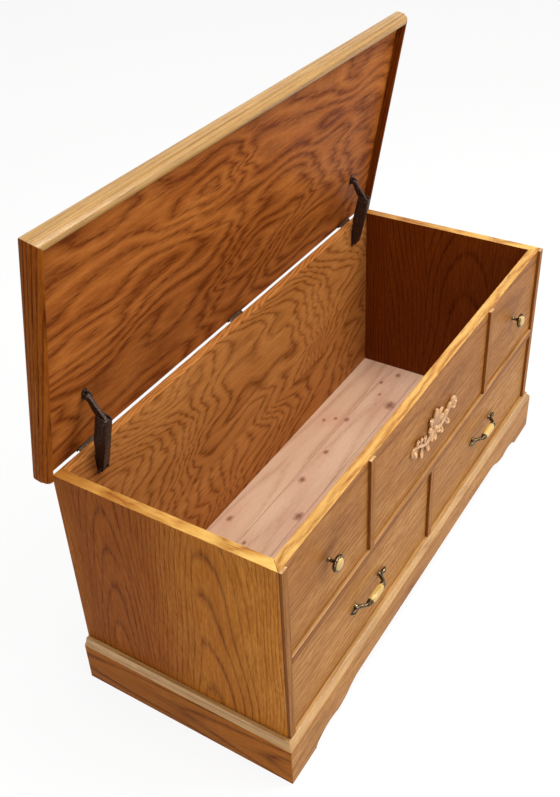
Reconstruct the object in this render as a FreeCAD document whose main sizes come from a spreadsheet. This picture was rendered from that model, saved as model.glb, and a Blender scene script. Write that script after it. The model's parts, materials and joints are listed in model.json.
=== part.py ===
import FreeCAD, Part
import Sketcher
import math
import os
import re

from FreeCAD import Placement, Rotation, Vector

# Blanket chest with a hinged lid on two parallelogram lid stays.
# Millimetres. X runs along the chest, the front faces -Y and Z is up. The chest rests with its lid
# open. Lid pieces are drawn as if the lid were shut, with the hinge pin's axis as their X axis, and
# are then turned about that axis to the open position.

os.makedirs("parts", exist_ok=True)
doc = FreeCAD.newDocument("blanket_chest")

sizes = {
    # carcass
    "carcass_length": 1168,
    "carcass_depth": 463,
    "carcass_top": 530,
    "carcass_bottom": 60,
    "stock_thick": 22,
    "back_thick": 20,
    "groove_deep": 6,
    "ply_thick": 12,
    "cedar_thick": 8,
    "cedar_gap": 0.8,
    "floor_top": 86,
    "fit_gap": 0.2,
    "stand_offset": -0.1,
    # strips on the front
    "strip_proud": 6.5,
    "stile_wide": 17.5,
    "rail_bottom": 296,
    "rail_wide": 18,
    "mullion_wide": 18,
    "mullion_inset": 309,
    # base
    "base_top": 109,
    "base_thick": 16,
    "base_ledge": 9,
    "ogee_drop": 17,
    "ogee_fillet": 2,
    "arch_rise": 37,
    "cove_wide": 44,
    "cove_rise": 25,
    "cove_round": 90,
    "cusp_wide": 44,
    "cusp_rise": 15.5,
    "slope_round": 110,
    "crest_wide": 73,
    "crest_round": 95,
    "step_wide": 9,
    "step_rise": 10,
    "step_round": 16,
    "foot_long": 88,
    "block_wide": 34,
    # lid
    "open_angle": 79.4,
    "lid_thick": 21,
    "lid_clear": 6.2,
    "lid_front": 477.5,
    "lid_rear": 6,
    "edge_thick": 16,
    "edge_round": 10,
    "edge_quirk": 2,
    "quirk_level": 1.5,
    "quirk_height": 1.5,
    "lip_flat": 5,
    "lip_round": 13,
    "lip_drop": 15,
    # hinges
    "pin_setback": 5,
    "hinge_gap": 5,
    "hinge_long": 46,
    "hinge_inset": 97,
    "leaf_thick": 1.5,
    "leaf_reach": 21,
    "edge_reach": 15,
    "knuckle_clear": 0.3,
    "pin_radius": 1.2,
    "run_clear": 0.05,
    # lid stays
    "stay_inset_end": 96,
    "stay_inset": 8.5,
    "stay_depth": 42,
    "stay_reach": 118,
    "stay_drop": 6,
    "stay_pin": 2,
    "open_clear": 0.3,
    "link_wide": 17,
    "link_sheet": 2,
    "link_web": 1.6,
    "link_nose": 5.5,
    "link_front": 6.5,
    "link_back": 19,
    "link_flare": 60,
    "link_tip": 9,
    "link_corner": 5,
    "web_start": 10,
    "lug_wide": 10,
    "lug_round": 5,
    "plate_thick": 2,
    "plate_above": 30,
    "plate_below": 13,
    "arm_thick": 6,
    "arm_round": 4.6,
    "arm_belly": 11,
    "belly_start": 11,
    "belly_end": 27,
    "ear_round": 5.8,
    "ear_thick": 2,
    "ear_clear": 1,
    "foot_ahead": 14,
    "foot_behind": 12,
    "foot_wide": 14,
    # knobs
    "knob_inset": 153,
    "knob_height": 421,
    "knob_radius": 18,
    "knob_standoff": 19,
    "knob_rim": 4.5,
    "knob_lip": 2.6,
    "knob_dome": 4,
    "knob_bevel": 5.5,
    "knob_neck": 4.5,
    "knob_foot": 7.5,
    "knob_foot_rise": 2.5,
    # bow pulls
    "pull_inward": 9,
    "pull_height": 204,
    "post_spread": 48,
    "post_radius": 4.2,
    "post_rise": 15,
    "bow_rise": 20,
    "bow_radius": 3.8,
    "ferrule_radius": 6.8,
    "ferrule_long": 5,
    "grip_half": 27,
    "grip_radius": 9,
    "grip_end": 6.5,
    "grip_swell": 22,
    "grip_core": 2.4,
    "finial_long": 21,
    "finial_start": 9,
    "finial_round": 13,
    "finial_level": 5,
    "finial_rise": 10,
    # carved onlay
    "onlay_height": 406,
    "onlay_thick": 6,
    "centre_thick": 9,
    "boss_radius": 9,
    "leaf_up": 50,
    "leaf_down": 34,
    "leaf_wide": 15,
    "tendril_join": 70,
    "tendril_tip": 110,
    "tendril_belly": 15,
    "tendril_wide": 7,
    "tendril_level": 4,
    "curl_radius": 8,
    "leaflet_long": 26,
    "leaflet_wide": 10,
}

sheet = doc.addObject("Spreadsheet::Sheet", "sizes")
for row, (alias, value) in enumerate(sizes.items(), start=1):
    sheet.set(f"A{row}", alias)
    sheet.set(f"B{row}", str(value))
    sheet.setAlias(f"B{row}", alias)
doc.recompute()

front_face = "(-carcass_depth / 2)"
back_face = "(carcass_depth / 2)"
back_inner = "(carcass_depth / 2 - back_thick)"
inner_half = "(carcass_length / 2 - stock_thick)"
inner_depth = "(carcass_depth - stock_thick - back_thick)"
board_height = "(carcass_top - carcass_bottom)"
ply_bottom = "(floor_top - cedar_thick - ply_thick)"
pin_y = "(carcass_depth / 2 + pin_setback)"
pin_z = "(carcass_top + hinge_gap / 2)"
lid_under = "(hinge_gap / 2)"
lid_half = "(carcass_length / 2 + lid_clear)"
knuckle_radius = "(hinge_gap / 2 - knuckle_clear)"
stay_y = "(carcass_depth / 2 - back_thick - stay_inset)"
stay_z = "(carcass_top - stay_depth)"
link_long = "(sqrt(stay_reach ^ 2 + stay_drop ^ 2))"
arm_run = "(pin_setback + back_thick + stay_inset)"
arm_lift = "(hinge_gap / 2 + stay_depth)"
arm_long = f"(sqrt({arm_run} ^ 2 + {arm_lift} ^ 2))"
hinge_spread = "(carcass_length / 2 - hinge_inset)"
stay_spread = "(carcass_length / 2 - stay_inset_end)"
knob_offset = "(carcass_length / 2 - knob_inset)"
mullion_offset = "(carcass_length / 2 - mullion_inset)"
pull_offset = "(carcass_length / 4 - pull_inward)"


def bound(text):
    """Turns each alias in an expression into a reference to the size sheet."""
    return re.sub(r"[a-z]+(?:_[a-z]+)+", lambda word: "sizes." + word.group(), text)


def number(text):
    value = sheet.evalExpression(bound(text))
    return float(getattr(value, "Value", value))


def bind(item, target, text):
    item.setExpression(target, bound(text))


def place(item, x="0", y="0", z="0"):
    """Puts a piece in the chest's frame."""
    bind(item, "Placement.Base.x", x)
    bind(item, "Placement.Base.y", f"stand_offset + {y}")
    bind(item, "Placement.Base.z", z)


def place_on_lid(item, x="0"):
    """Puts a piece drawn from the hinge pin's axis on the opened lid."""
    item.Placement = Placement(Vector(), Rotation(Vector(-1, 0, 0), 1))
    bind(item, "Placement.Rotation.Angle", "open_angle")
    place(item, x, pin_y, pin_z)


def new_body(label):
    body = doc.addObject("PartDesign::Body", label)
    body.Label = label
    return body


def arc_between(start, end, radius):
    """The shorter arc between two points; a positive radius turns to the left."""
    chord = end - start
    middle = (start + end) * 0.5
    left = Vector(-chord.y, chord.x, 0).normalize()
    side = math.copysign(1, radius)
    reach = math.sqrt(max(radius ** 2 - (chord.Length / 2) ** 2, 0))
    centre = middle + left * (side * reach)
    first, last = (start, end) if side > 0 else (end, start)
    angles = [math.atan2(point.y - centre.y, point.x - centre.x) for point in (first, last)]
    if angles[1] <= angles[0]:
        angles[1] += 2 * math.pi
    return Part.ArcOfCircle(Part.Circle(centre, Vector(0, 0, 1), abs(radius)), angles[0], angles[1])


def add_sketch(body, plane, lift="0"):
    sketch = body.newObject("Sketcher::SketchObject", body.Label + "_sketch")
    support = [item for item in body.Origin.OriginFeatures if item.Role == plane]
    sketch.AttachmentSupport = [(support[0], "")]
    sketch.MapMode = "FlatFace"
    bind(sketch, "AttachmentOffset.Base.z", lift)
    return sketch


def add_rule(sketch, rule, text):
    index = sketch.addConstraint(rule)
    name = f"rule{index}"
    sketch.renameConstraint(index, name)
    bind(sketch, f".Constraints.{name}", text)


def add_outline(sketch, corners):
    """A closed outline. Each corner is (x, y) or, before an arc, (x, y, radius)."""
    points = [Vector(number(corner[0]), number(corner[1]), 0) for corner in corners]
    edges = []
    for index, corner in enumerate(corners):
        start = points[index]
        end = points[(index + 1) % len(points)]
        radius = number(corner[2]) if len(corner) > 2 else 0
        shape = arc_between(start, end, radius) if radius else Part.LineSegment(start, end)
        ends = (2, 1) if radius < 0 else (1, 2)
        edges.append((sketch.addGeometry(shape, False), ends, corner))
    for index, (edge, ends, corner) in enumerate(edges):
        following, following_ends, _ = edges[(index + 1) % len(edges)]
        sketch.addConstraint(
            Sketcher.Constraint("Coincident", edge, ends[1], following, following_ends[0]))
        x, y = points[index].x, points[index].y
        add_rule(sketch, Sketcher.Constraint("DistanceX", -1, 1, edge, ends[0], x), corner[0])
        add_rule(sketch, Sketcher.Constraint("DistanceY", -1, 1, edge, ends[0], y), corner[1])
        if len(corner) > 2:
            radius = number(corner[2])
            sign = "-1 * " if radius < 0 else ""
            rule = Sketcher.Constraint("Radius", edge, abs(radius))
            add_rule(sketch, rule, f"{sign}({corner[2]})")


def add_circle(sketch, x, y, radius):
    centre = Vector(number(x), number(y), 0)
    edge = sketch.addGeometry(Part.Circle(centre, Vector(0, 0, 1), number(radius)), False)
    add_rule(sketch, Sketcher.Constraint("DistanceX", -1, 1, edge, 3, centre.x), x)
    add_rule(sketch, Sketcher.Constraint("DistanceY", -1, 1, edge, 3, centre.y), y)
    add_rule(sketch, Sketcher.Constraint("Radius", edge, number(radius)), radius)


def rectangle(x0, y0, x1, y1):
    return [(x0, y0), (x1, y0), (x1, y1), (x0, y1)]


def pad(body, sketch, length, centred=False, flip=False):
    feature = body.newObject("PartDesign::Pad", body.Label + "_pad")
    feature.Profile = sketch
    bind(feature, "Length", length)
    feature.SideType = "Symmetric" if centred else "One side"
    feature.Reversed = flip
    sketch.Visibility = False
    doc.recompute()
    return feature


def pocket(body, sketch, depth=None, centred=False, flip=False):
    """Cuts a sketch out of the body: right through both ways, or to a depth."""
    before = body.Shape.Volume
    feature = body.newObject("PartDesign::Pocket", body.Label + "_pocket")
    feature.Profile = sketch
    if depth is None:
        feature.Type = "ThroughAll"
        feature.SideType = "Symmetric"
    else:
        bind(feature, "Length", depth)
        feature.SideType = "Symmetric" if centred else "One side"
        feature.Reversed = flip
    doc.recompute()
    if body.Shape.Volume >= before:
        raise RuntimeError(f"{feature.Label} cuts nothing")
    return feature


def revolve(body, sketch):
    """Turns a profile about the sketch's vertical axis."""
    feature = body.newObject("PartDesign::Revolution", body.Label + "_turning")
    feature.Profile = sketch
    feature.ReferenceAxis = (sketch, ["V_Axis"])
    feature.Angle = 360
    doc.recompute()
    return feature


def turn_about(body, sketch, start, end):
    """Turns a profile about a construction line in its own sketch."""
    points = [Vector(number(x), number(y), 0) for x, y in (start, end)]
    line = sketch.addGeometry(Part.LineSegment(*points), True)
    for index, (corner, point) in enumerate(zip((start, end), points), start=1):
        across = Sketcher.Constraint("DistanceX", -1, 1, line, index, point.x)
        add_rule(sketch, across, corner[0])
        up = Sketcher.Constraint("DistanceY", -1, 1, line, index, point.y)
        add_rule(sketch, up, corner[1])
    feature = body.newObject("PartDesign::Revolution", body.Label + "_turning")
    feature.Profile = sketch
    feature.ReferenceAxis = (sketch, ["Axis0"])
    feature.Angle = 360
    doc.recompute()
    return feature


def board(label, corner, extent):
    """A rectangular board from its low corner and its three sizes."""
    body = new_body(label)
    outline = add_sketch(body, "XY_Plane")
    add_outline(outline, rectangle("0", "0", extent[0], extent[1]))
    pad(body, outline, extent[2])
    if corner:
        place(body, *corner)
    return body


def gather(label, items):
    """Keeps equal loose pieces of one kind as one sub-part."""
    group = doc.addObject("Part::Compound", label)
    group.Label = label
    group.Links = items
    return group


def pin(label, radius, length):
    """A plain pin along X, centred on its own origin."""
    body = new_body(label)
    shank = add_sketch(body, "YZ_Plane")
    add_circle(shank, "0", "0", radius)
    pad(body, shank, length, centred=True)
    return body


# Carcass: boards mitred at the front corners, the back between the ends.

def cut_groove(body, corners):
    groove = add_sketch(body, "XY_Plane", f"{ply_bottom} - carcass_bottom")
    add_outline(groove, corners)
    pocket(body, groove, "ply_thick + fit_gap", flip=True)


def make_front_board():
    body = new_body("front_board")
    plan = add_sketch(body, "XY_Plane")
    half = "carcass_length / 2"
    add_outline(plan, [(f"-1 * {half}", "0"), (half, "0"),
                       (inner_half, "stock_thick"), (f"-1 * {inner_half}", "stock_thick")])
    pad(body, plan, board_height)
    cut_groove(body, rectangle(f"-1 * {half}", "stock_thick - groove_deep", half, "stock_thick"))
    place(body, "0", front_face, "carcass_bottom")


def make_end_panel(label, side):
    body = new_body(label)
    plan = add_sketch(body, "XY_Plane")
    inner = f"{-side} * stock_thick"
    add_outline(plan, [("0", "0"), ("0", "carcass_depth"),
                       (inner, "carcass_depth"), (inner, "stock_thick")])
    pad(body, plan, board_height)
    cut_groove(body, rectangle(f"{-side} * (stock_thick - groove_deep)", "0",
                               inner, "carcass_depth - back_thick + groove_deep"))
    place(body, f"{side} * carcass_length / 2", front_face, "carcass_bottom")


def make_back_panel():
    body = board("back_panel", (f"-1 * {inner_half}", back_inner, "carcass_bottom"),
                 (f"2 * {inner_half}", "back_thick", board_height))
    cut_groove(body, rectangle("0", "0", f"2 * {inner_half}", "groove_deep"))


def make_floor():
    tongue = "(groove_deep - fit_gap)"
    board("bottom_panel",
          (f"-1 * {inner_half} - {tongue}", f"{front_face} + stock_thick - {tongue}", ply_bottom),
          (f"2 * {inner_half} + 2 * {tongue}", f"{inner_depth} + 2 * {tongue}", "ply_thick"))
    count = 5
    wide = f"({inner_depth} - 2 * fit_gap - {count - 1} * cedar_gap) / {count}"
    for index in range(count):
        y = f"{front_face} + stock_thick + fit_gap + {index} * ({wide} + cedar_gap)"
        board(f"cedar_board_{index + 1}",
              (f"fit_gap - {inner_half}", y, "floor_top - cedar_thick"),
              (f"2 * {inner_half} - 2 * fit_gap", wide, "cedar_thick"))


def make_strips():
    strip_y = f"{front_face} - strip_proud"
    rail_half = "(carcass_length / 2 - stile_wide)"
    for label, x in (("stile_left", "-1 * carcass_length / 2"), ("stile_right", rail_half)):
        board(label, (x, strip_y, "base_top"),
              ("stile_wide", "strip_proud", "carcass_top - base_top"))
    board("mid_rail", (f"-1 * {rail_half}", strip_y, "rail_bottom"),
          (f"2 * {rail_half}", "strip_proud", "rail_wide"))
    for label, side in (("mullion_upper_left", -1), ("mullion_upper_right", 1)):
        board(label, (f"{side} * {mullion_offset} - mullion_wide / 2", strip_y,
                      "rail_bottom + rail_wide"),
              ("mullion_wide", "strip_proud", "carcass_top - rail_bottom - rail_wide"))
    board("mullion_lower", ("-1 * mullion_wide / 2", strip_y, "base_top"),
          ("mullion_wide", "strip_proud", "rail_bottom - base_top"))


# Base: an ogee-topped moulding, scalloped along the front and mitred at the front corners.

def base_section(sign):
    """Section of the base, from the carcass face outward; its ogee is two equal arcs."""
    middle = "(base_ledge + base_thick) / 2"
    run = "((base_thick - base_ledge) / 2)"
    rise = "((ogee_drop - ogee_fillet) / 2)"
    ogee_round = f"({run} ^ 2 + {rise} ^ 2) / (2 * {run})"
    return [("0", "0"), (f"{sign} * base_thick", "0"),
            (f"{sign} * base_thick", "base_top - ogee_drop", f"{sign} * {ogee_round}"),
            (f"{sign} * {middle}", f"base_top - ogee_drop + {rise}", f"{-sign} * {ogee_round}"),
            (f"{sign} * base_ledge", "base_top - ogee_fillet"),
            (f"{sign} * base_ledge", "base_top"), ("0", "base_top")]


def scallop_half(side):
    """Half of the base's lower edge, from the arch's end out to the foot."""
    foot = "carcass_length / 2 + base_thick - foot_long"
    step = f"{foot} - step_wide"
    cusp = f"{step} - crest_wide"
    cove = f"{cusp} - cusp_wide"
    return [(f"{side} * ({cove} - cove_wide)", "arch_rise", f"{-side} * cove_round"),
            (f"{side} * ({cove})", "cove_rise", f"{side} * slope_round"),
            (f"{side} * ({cusp})", "cusp_rise", f"{-side} * crest_round"),
            (f"{side} * ({step})", "step_rise", f"{-side} * step_round"),
            (f"{side} * ({foot})", "0")]


def mirrored(corners):
    """The left half of a symmetric outline, from its right half, run back to the start."""
    arcs = [corner[2] if len(corner) > 2 else None for corner in corners]
    result = []
    for index in range(len(corners) - 1, -1, -1):
        x, y = corners[index][:2]
        arc = arcs[index - 1] if index else None
        flipped = (f"-1 * {x}", y)
        result.append(flipped + (arc,) if arc else flipped)
    return result


def make_base_front():
    body = new_body("base_front")
    section = add_sketch(body, "YZ_Plane")
    add_outline(section, base_section(-1))
    pad(body, section, "carcass_length + 2 * base_thick", centred=True)
    right = scallop_half(1)
    scallop = add_sketch(body, "XZ_Plane")
    add_outline(scallop, mirrored(right) + right)
    pocket(body, scallop)
    mitres = add_sketch(body, "XY_Plane")
    corner = "carcass_length / 2"
    past = "(base_thick + 1)"
    for side in (-1, 1):
        x0 = f"{side} * {corner}"
        x1 = f"{side} * ({corner} + {past})"
        add_outline(mitres, [(x0, "0"), (x1, "0"), (x1, f"-1 * {past}")])
    pocket(body, mitres)
    place(body, "0", front_face, "0")


def make_base_side(label, side):
    body = new_body(label)
    section = add_sketch(body, "XZ_Plane", "base_thick")
    add_outline(section, base_section(side))
    pad(body, section, "carcass_depth + base_thick", flip=True)
    mitre = add_sketch(body, "XY_Plane")
    past = "(base_thick + 1)"
    add_outline(mitre, [("0", "0"), ("0", f"-1 * {past}"), (f"{side} * {past}", f"-1 * {past}")])
    pocket(body, mitre)
    place(body, f"{side} * carcass_length / 2", front_face, "0")


def make_base_inside():
    board("base_back", ("-1 * carcass_length / 2", f"{back_face} - base_thick", "0"),
          ("carcass_length", "base_thick", "carcass_bottom"))
    blocks = []
    for side in (-1, 1):
        for y in (front_face, f"{back_face} - base_thick - block_wide"):
            block = doc.addObject("Part::Box", "block")
            bind(block, "Length", "block_wide")
            bind(block, "Width", "block_wide")
            bind(block, "Height", "carcass_bottom")
            low = "-1 * carcass_length / 2" if side < 0 else "carcass_length / 2 - block_wide"
            bind(block, "Placement.Base.x", low)
            bind(block, "Placement.Base.y", y)
            blocks.append(block)
    place(gather("corner_blocks", blocks))


# Lid: a panel in a moulded edging that drops past the rim at the front and both ends.

def edge_section(sign, inner):
    """Section of the edging, from the panel's edge outward."""
    top = "(hinge_gap / 2 + lid_thick)"
    outer = "edge_thick"
    neck = "edge_thick - edge_quirk"

    def at(reach, level, *radius):
        return (f"{inner} + {sign} * ({reach})", level) + radius

    return [at("0", top), at("edge_thick - edge_round", top, f"{-sign} * edge_round"),
            at(outer, f"{top} - edge_round"), at(outer, "-1 * quirk_level"),
            at(neck, "-1 * quirk_level"),
            at(neck, "-1 * quirk_level - quirk_height", f"{-sign} * lip_round"),
            at("lip_flat", "-1 * lip_drop"), at("0", "-1 * lip_drop")]


def make_lid_panel():
    body = new_body("lid_panel")
    plan = add_sketch(body, "XY_Plane", lid_under)
    add_outline(plan, rectangle(f"-1 * {lid_half}", "-1 * lid_front", lid_half, "lid_rear"))
    pad(body, plan, "lid_thick")
    place_on_lid(body)


def make_lid_edge_front():
    body = new_body("lid_edge_front")
    section = add_sketch(body, "YZ_Plane")
    add_outline(section, edge_section(-1, "(-1 * lid_front)"))
    pad(body, section, f"2 * ({lid_half} + edge_thick)", centred=True)
    mitres = add_sketch(body, "XY_Plane")
    past = "(edge_thick + 1)"
    for side in (-1, 1):
        x0 = f"{side} * {lid_half}"
        x1 = f"{side} * ({lid_half} + {past})"
        add_outline(mitres, [(x0, "-1 * lid_front"), (x1, "-1 * lid_front"),
                             (x1, f"-1 * (lid_front + {past})")])
    pocket(body, mitres)
    place_on_lid(body)


def make_lid_edge_side(label, side):
    body = new_body(label)
    section = add_sketch(body, "XZ_Plane", "lid_front + edge_thick")
    inner = f"({side} * {lid_half})"
    add_outline(section, edge_section(side, inner))
    pad(body, section, "lid_front + edge_thick + lid_rear", flip=True)
    mitre = add_sketch(body, "XY_Plane")
    past = "(edge_thick + 1)"
    add_outline(mitre, [(inner, "-1 * lid_front"), (inner, f"-1 * (lid_front + {past})"),
                        (f"{inner} + {side} * {past}", f"-1 * (lid_front + {past})")])
    pocket(body, mitre)
    place_on_lid(body)


# Butt hinges, outside the chest: one leaf on the back panel, the other round the lid's rear edge.

def make_leaf(label, outline, knuckles):
    """A leaf from its outline, which ends round the pin, cut away between its knuckles."""
    body = new_body(label)
    profile = add_sketch(body, "YZ_Plane")
    add_outline(profile, outline)
    add_circle(profile, "0", "0", "pin_radius + run_clear")
    pad(body, profile, "hinge_long", centred=True)
    notches = add_sketch(body, "XY_Plane")
    pitch = "hinge_long / 3"
    past = f"({knuckle_radius} + knuckle_clear)"
    for index in set(range(3)) - set(knuckles):
        low = f"({index} - 1.5) * {pitch} - knuckle_clear / 2"
        high = f"({index} - 0.5) * {pitch} + knuckle_clear / 2"
        add_outline(notches, rectangle(low, f"-1 * {past}", high, past))
    pocket(body, notches)
    return body


def chest_leaf():
    """Down the back panel's outer face, then forward and up to the pin."""
    plate = "(leaf_thick - pin_setback)"
    low = f"-1 * {knuckle_radius}"
    return [("-1 * pin_setback", "-1 * leaf_reach"), (plate, "-1 * leaf_reach"),
            (plate, f"{low} - leaf_thick"), (low, low), ("0", low, knuckle_radius),
            (knuckle_radius, "0", knuckle_radius), ("0", knuckle_radius, knuckle_radius),
            (low, "0"), ("-1 * pin_setback", "-1 * leaf_thick")]


def lid_leaf():
    """Back along the lid's underside from the pin, then up its rear edge."""
    outer = "(lid_rear + leaf_thick)"
    seat = "(hinge_gap / 2)"
    inner = "(hinge_gap / 2 - leaf_thick)"
    bend = f"-1 * {knuckle_radius}"
    return [("0", seat), ("lid_rear", seat), ("lid_rear", "hinge_gap / 2 + edge_reach"),
            (outer, "hinge_gap / 2 + edge_reach"), (outer, inner),
            (f"sqrt({knuckle_radius} ^ 2 - {inner} ^ 2)", inner, bend),
            ("0", f"-1 * {knuckle_radius}", bend), (f"-1 * {knuckle_radius}", "0", bend),
            ("0", knuckle_radius)]


def make_hinges():
    for step, name in enumerate(("left", "middle", "right"), start=-1):
        centre = f"{step} * {hinge_spread}"
        lower = make_leaf(f"hinge_chest_leaf_{name}", chest_leaf(), (0, 2))
        place(lower, centre, pin_y, pin_z)
        upper = make_leaf(f"hinge_lid_leaf_{name}", lid_leaf(), (1,))
        place_on_lid(upper, centre)
        place(pin(f"hinge_pin_{name}", "pin_radius", "hinge_long"), centre, pin_y, pin_z)


# Lid stays: a link and an arm that form a parallelogram with the lid and the back.

def make_wall_bracket(label, side):
    body = new_body(label)
    seat = "stay_inset"
    face = f"{seat} - plate_thick"
    plate = add_sketch(body, "YZ_Plane")
    add_outline(plate, rectangle(face, "-1 * plate_below", seat, "plate_above"))
    pad(body, plate, "link_wide", centred=True)
    lug = add_sketch(body, "YZ_Plane")
    add_outline(lug, [(face, "-1 * lug_round"), (face, "lug_round"),
                      ("0", "lug_round", "lug_round"), ("-1 * lug_round", "0", "lug_round"),
                      ("0", "-1 * lug_round")])
    pad(body, lug, "lug_wide", centred=True)
    bore = add_sketch(body, "YZ_Plane")
    add_circle(bore, "0", "0", "stay_pin + run_clear")
    pocket(body, bore)
    place(body, f"{side} * {stay_spread}", stay_y, stay_z)


def make_link(label, side):
    """A pressed channel, drawn along -Y from the wall pivot, open along its upper edge."""
    body = new_body(label)
    tip = f"-1 * ({link_long} + link_tip)"
    cheeks = add_sketch(body, "YZ_Plane")
    add_outline(cheeks, [("0", "link_nose", "-1 * link_nose"), ("link_nose", "0", "-1 * link_nose"),
                         ("0", "-1 * link_nose"),
                         ("-1 * web_start", "-1 * link_front"),
                         (f"{tip} + link_corner", "-1 * link_front", "-1 * link_corner"),
                         (tip, "link_corner - link_front"),
                         (tip, "link_back - link_corner", "-1 * link_corner"),
                         (f"{tip} + link_corner", "link_back"),
                         ("-1 * link_flare", "link_back")])
    pad(body, cheeks, "link_wide", centred=True)
    channel = add_sketch(body, "YZ_Plane")
    past = "(link_back + link_tip)"
    web = "link_web - link_front"
    add_outline(channel, [(past, f"-1 * {past}"), (past, past),
                          (f"-1 * ({link_long} + {past})", past),
                          (f"-1 * ({link_long} + {past})", web), ("-1 * web_start", web),
                          ("-1 * web_start", f"-1 * {past}")])
    pocket(body, channel, "link_wide - 2 * link_sheet", centred=True)
    bores = add_sketch(body, "YZ_Plane")
    add_circle(bores, "0", "0", "stay_pin + run_clear")
    add_circle(bores, f"-1 * {link_long}", "0", "stay_pin + run_clear")
    pocket(body, bores)
    body.Placement = Placement(Vector(), Rotation(Vector(-1, 0, 0), 1))
    bind(body, "Placement.Rotation.Angle", "open_angle * 1 deg - atan(stay_drop / stay_reach)")
    place(body, f"{side} * {stay_spread}", stay_y, stay_z)


def link_end():
    """Where the link's far pivot stands with the lid open."""
    y = f"{stay_y} - stay_reach * cos(open_angle) - stay_drop * sin(open_angle)"
    z = f"{stay_z} + stay_reach * sin(open_angle) - stay_drop * cos(open_angle)"
    return y, z


def make_arm(label, side):
    """A flat bar from the link's far pivot to the lid, drawn along +Y."""
    body = new_body(label)
    bar = add_sketch(body, "YZ_Plane")
    add_outline(bar, [("0", "-1 * arm_round"), ("belly_start", "-1 * arm_belly"),
                      ("belly_end", "-1 * arm_belly"),
                      (arm_long, "-1 * arm_round", "arm_round"),
                      (f"{arm_long} + arm_round", "0", "arm_round"), (arm_long, "arm_round"),
                      ("0", "arm_round", "arm_round"), ("-1 * arm_round", "0", "arm_round")])
    pad(body, bar, "arm_thick", centred=True)
    hub = add_sketch(body, "YZ_Plane")
    add_circle(hub, "0", "0", "arm_round")
    pad(body, hub, "link_wide - 2 * link_sheet - 2 * open_clear", centred=True)
    bores = add_sketch(body, "YZ_Plane")
    add_circle(bores, "0", "0", "stay_pin + run_clear")
    add_circle(bores, arm_long, "0", "stay_pin + open_clear")
    pocket(body, bores)
    body.Placement = Placement(Vector(), Rotation(Vector(1, 0, 0), 1))
    bind(body, "Placement.Rotation.Angle", f"atan({arm_lift} / {arm_run})")
    place(body, f"{side} * {stay_spread}", *link_end())


def make_lid_bracket(label, side):
    """A foot plate under the lid with two ears round the arm's eye."""
    body = new_body(label)
    face = f"({lid_under} - plate_thick)"
    foot = add_sketch(body, "XY_Plane", face)
    half = "foot_wide / 2"
    front = "(-1 * stay_reach - foot_ahead)"
    rear = "(foot_behind - stay_reach)"
    add_outline(foot, [(f"-1 * {half}", f"{front} + {half}", half), ("0", front, half),
                       (half, f"{front} + {half}"),
                       (half, f"{rear} - {half}", half), ("0", rear, half),
                       (f"-1 * {half}", f"{rear} - {half}")])
    pad(body, foot, "plate_thick")
    outer = "(arm_thick + 2 * ear_clear + 2 * ear_thick)"
    ears = add_sketch(body, "YZ_Plane")
    add_outline(ears, [("ear_round - stay_reach", f"{face} + plate_thick / 2"),
                       ("ear_round - stay_reach", "-1 * stay_drop", "-1 * ear_round"),
                       ("-1 * stay_reach", "-1 * stay_drop - ear_round", "-1 * ear_round"),
                       ("-1 * ear_round - stay_reach", "-1 * stay_drop"),
                       ("-1 * ear_round - stay_reach", f"{face} + plate_thick / 2")])
    pad(body, ears, outer, centred=True)
    slot = add_sketch(body, "YZ_Plane")
    add_outline(slot, rectangle("-2 * ear_round - stay_reach", "-2 * ear_round - stay_drop",
                                "2 * ear_round - stay_reach", face))
    pocket(body, slot, "arm_thick + 2 * ear_clear", centred=True)
    bore = add_sketch(body, "YZ_Plane")
    add_circle(bore, "-1 * stay_reach", "-1 * stay_drop", "stay_pin + run_clear")
    pocket(body, bore)
    place_on_lid(body, f"{side} * {stay_spread}")


def make_stay(name, side):
    make_wall_bracket(f"stay_wall_bracket_{name}", side)
    make_link(f"stay_link_{name}", side)
    make_arm(f"stay_arm_{name}", side)
    make_lid_bracket(f"stay_lid_bracket_{name}", side)
    x = f"{side} * {stay_spread}"
    grip = "link_wide + 2 * open_clear"
    place(pin(f"stay_wall_pin_{name}", "stay_pin", grip), x, stay_y, stay_z)
    place(pin(f"stay_rivet_{name}", "stay_pin", grip), x, *link_end())
    ears = "arm_thick + 2 * ear_clear + 2 * ear_thick"
    lid_pin = pin(f"stay_lid_pin_{name}", "stay_pin", f"{ears} + 2 * fit_gap")
    y = f"{pin_y} - stay_reach * cos(open_angle) - stay_drop * sin(open_angle)"
    z = f"{pin_z} + stay_reach * sin(open_angle) - stay_drop * cos(open_angle)"
    place(lid_pin, x, y, z)


# Knobs: a turned brass stem and rim round a raised insert.

def turn_to_front(body, x, z):
    """Stands a turned piece, drawn along Z, on the front board."""
    body.Placement = Placement(Vector(), Rotation(Vector(1, 0, 0), 90))
    place(body, x, front_face, z)


def make_knob(name, side):
    body = new_body(f"knob_{name}")
    profile = add_sketch(body, "XZ_Plane")
    seat = "(knob_standoff + knob_rim - knob_lip)"
    inner = "knob_radius - knob_lip"
    add_outline(profile, [("0", "0"), ("knob_foot", "0"), ("knob_foot", "knob_foot_rise"),
                          ("knob_neck", "knob_foot_rise"), ("knob_neck", "knob_standoff"),
                          ("knob_radius", "knob_standoff"),
                          ("knob_radius", "knob_standoff + knob_rim"),
                          (inner, "knob_standoff + knob_rim"), (inner, seat), ("0", seat)])
    revolve(body, profile)
    turn_to_front(body, f"{side} * {knob_offset}", "knob_height")
    insert = new_body(f"knob_insert_{name}")
    dome = add_sketch(insert, "XZ_Plane")
    rim = "(knob_radius - knob_lip - run_clear)"
    level = f"({seat} + knob_lip)"
    add_outline(dome, [("0", seat), (rim, seat), (rim, level),
                       (f"{rim} - knob_bevel", f"{level} + knob_dome"),
                       ("0", f"{level} + knob_dome")])
    revolve(insert, dome)
    turn_to_front(insert, f"{side} * {knob_offset}", "knob_height")


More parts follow.
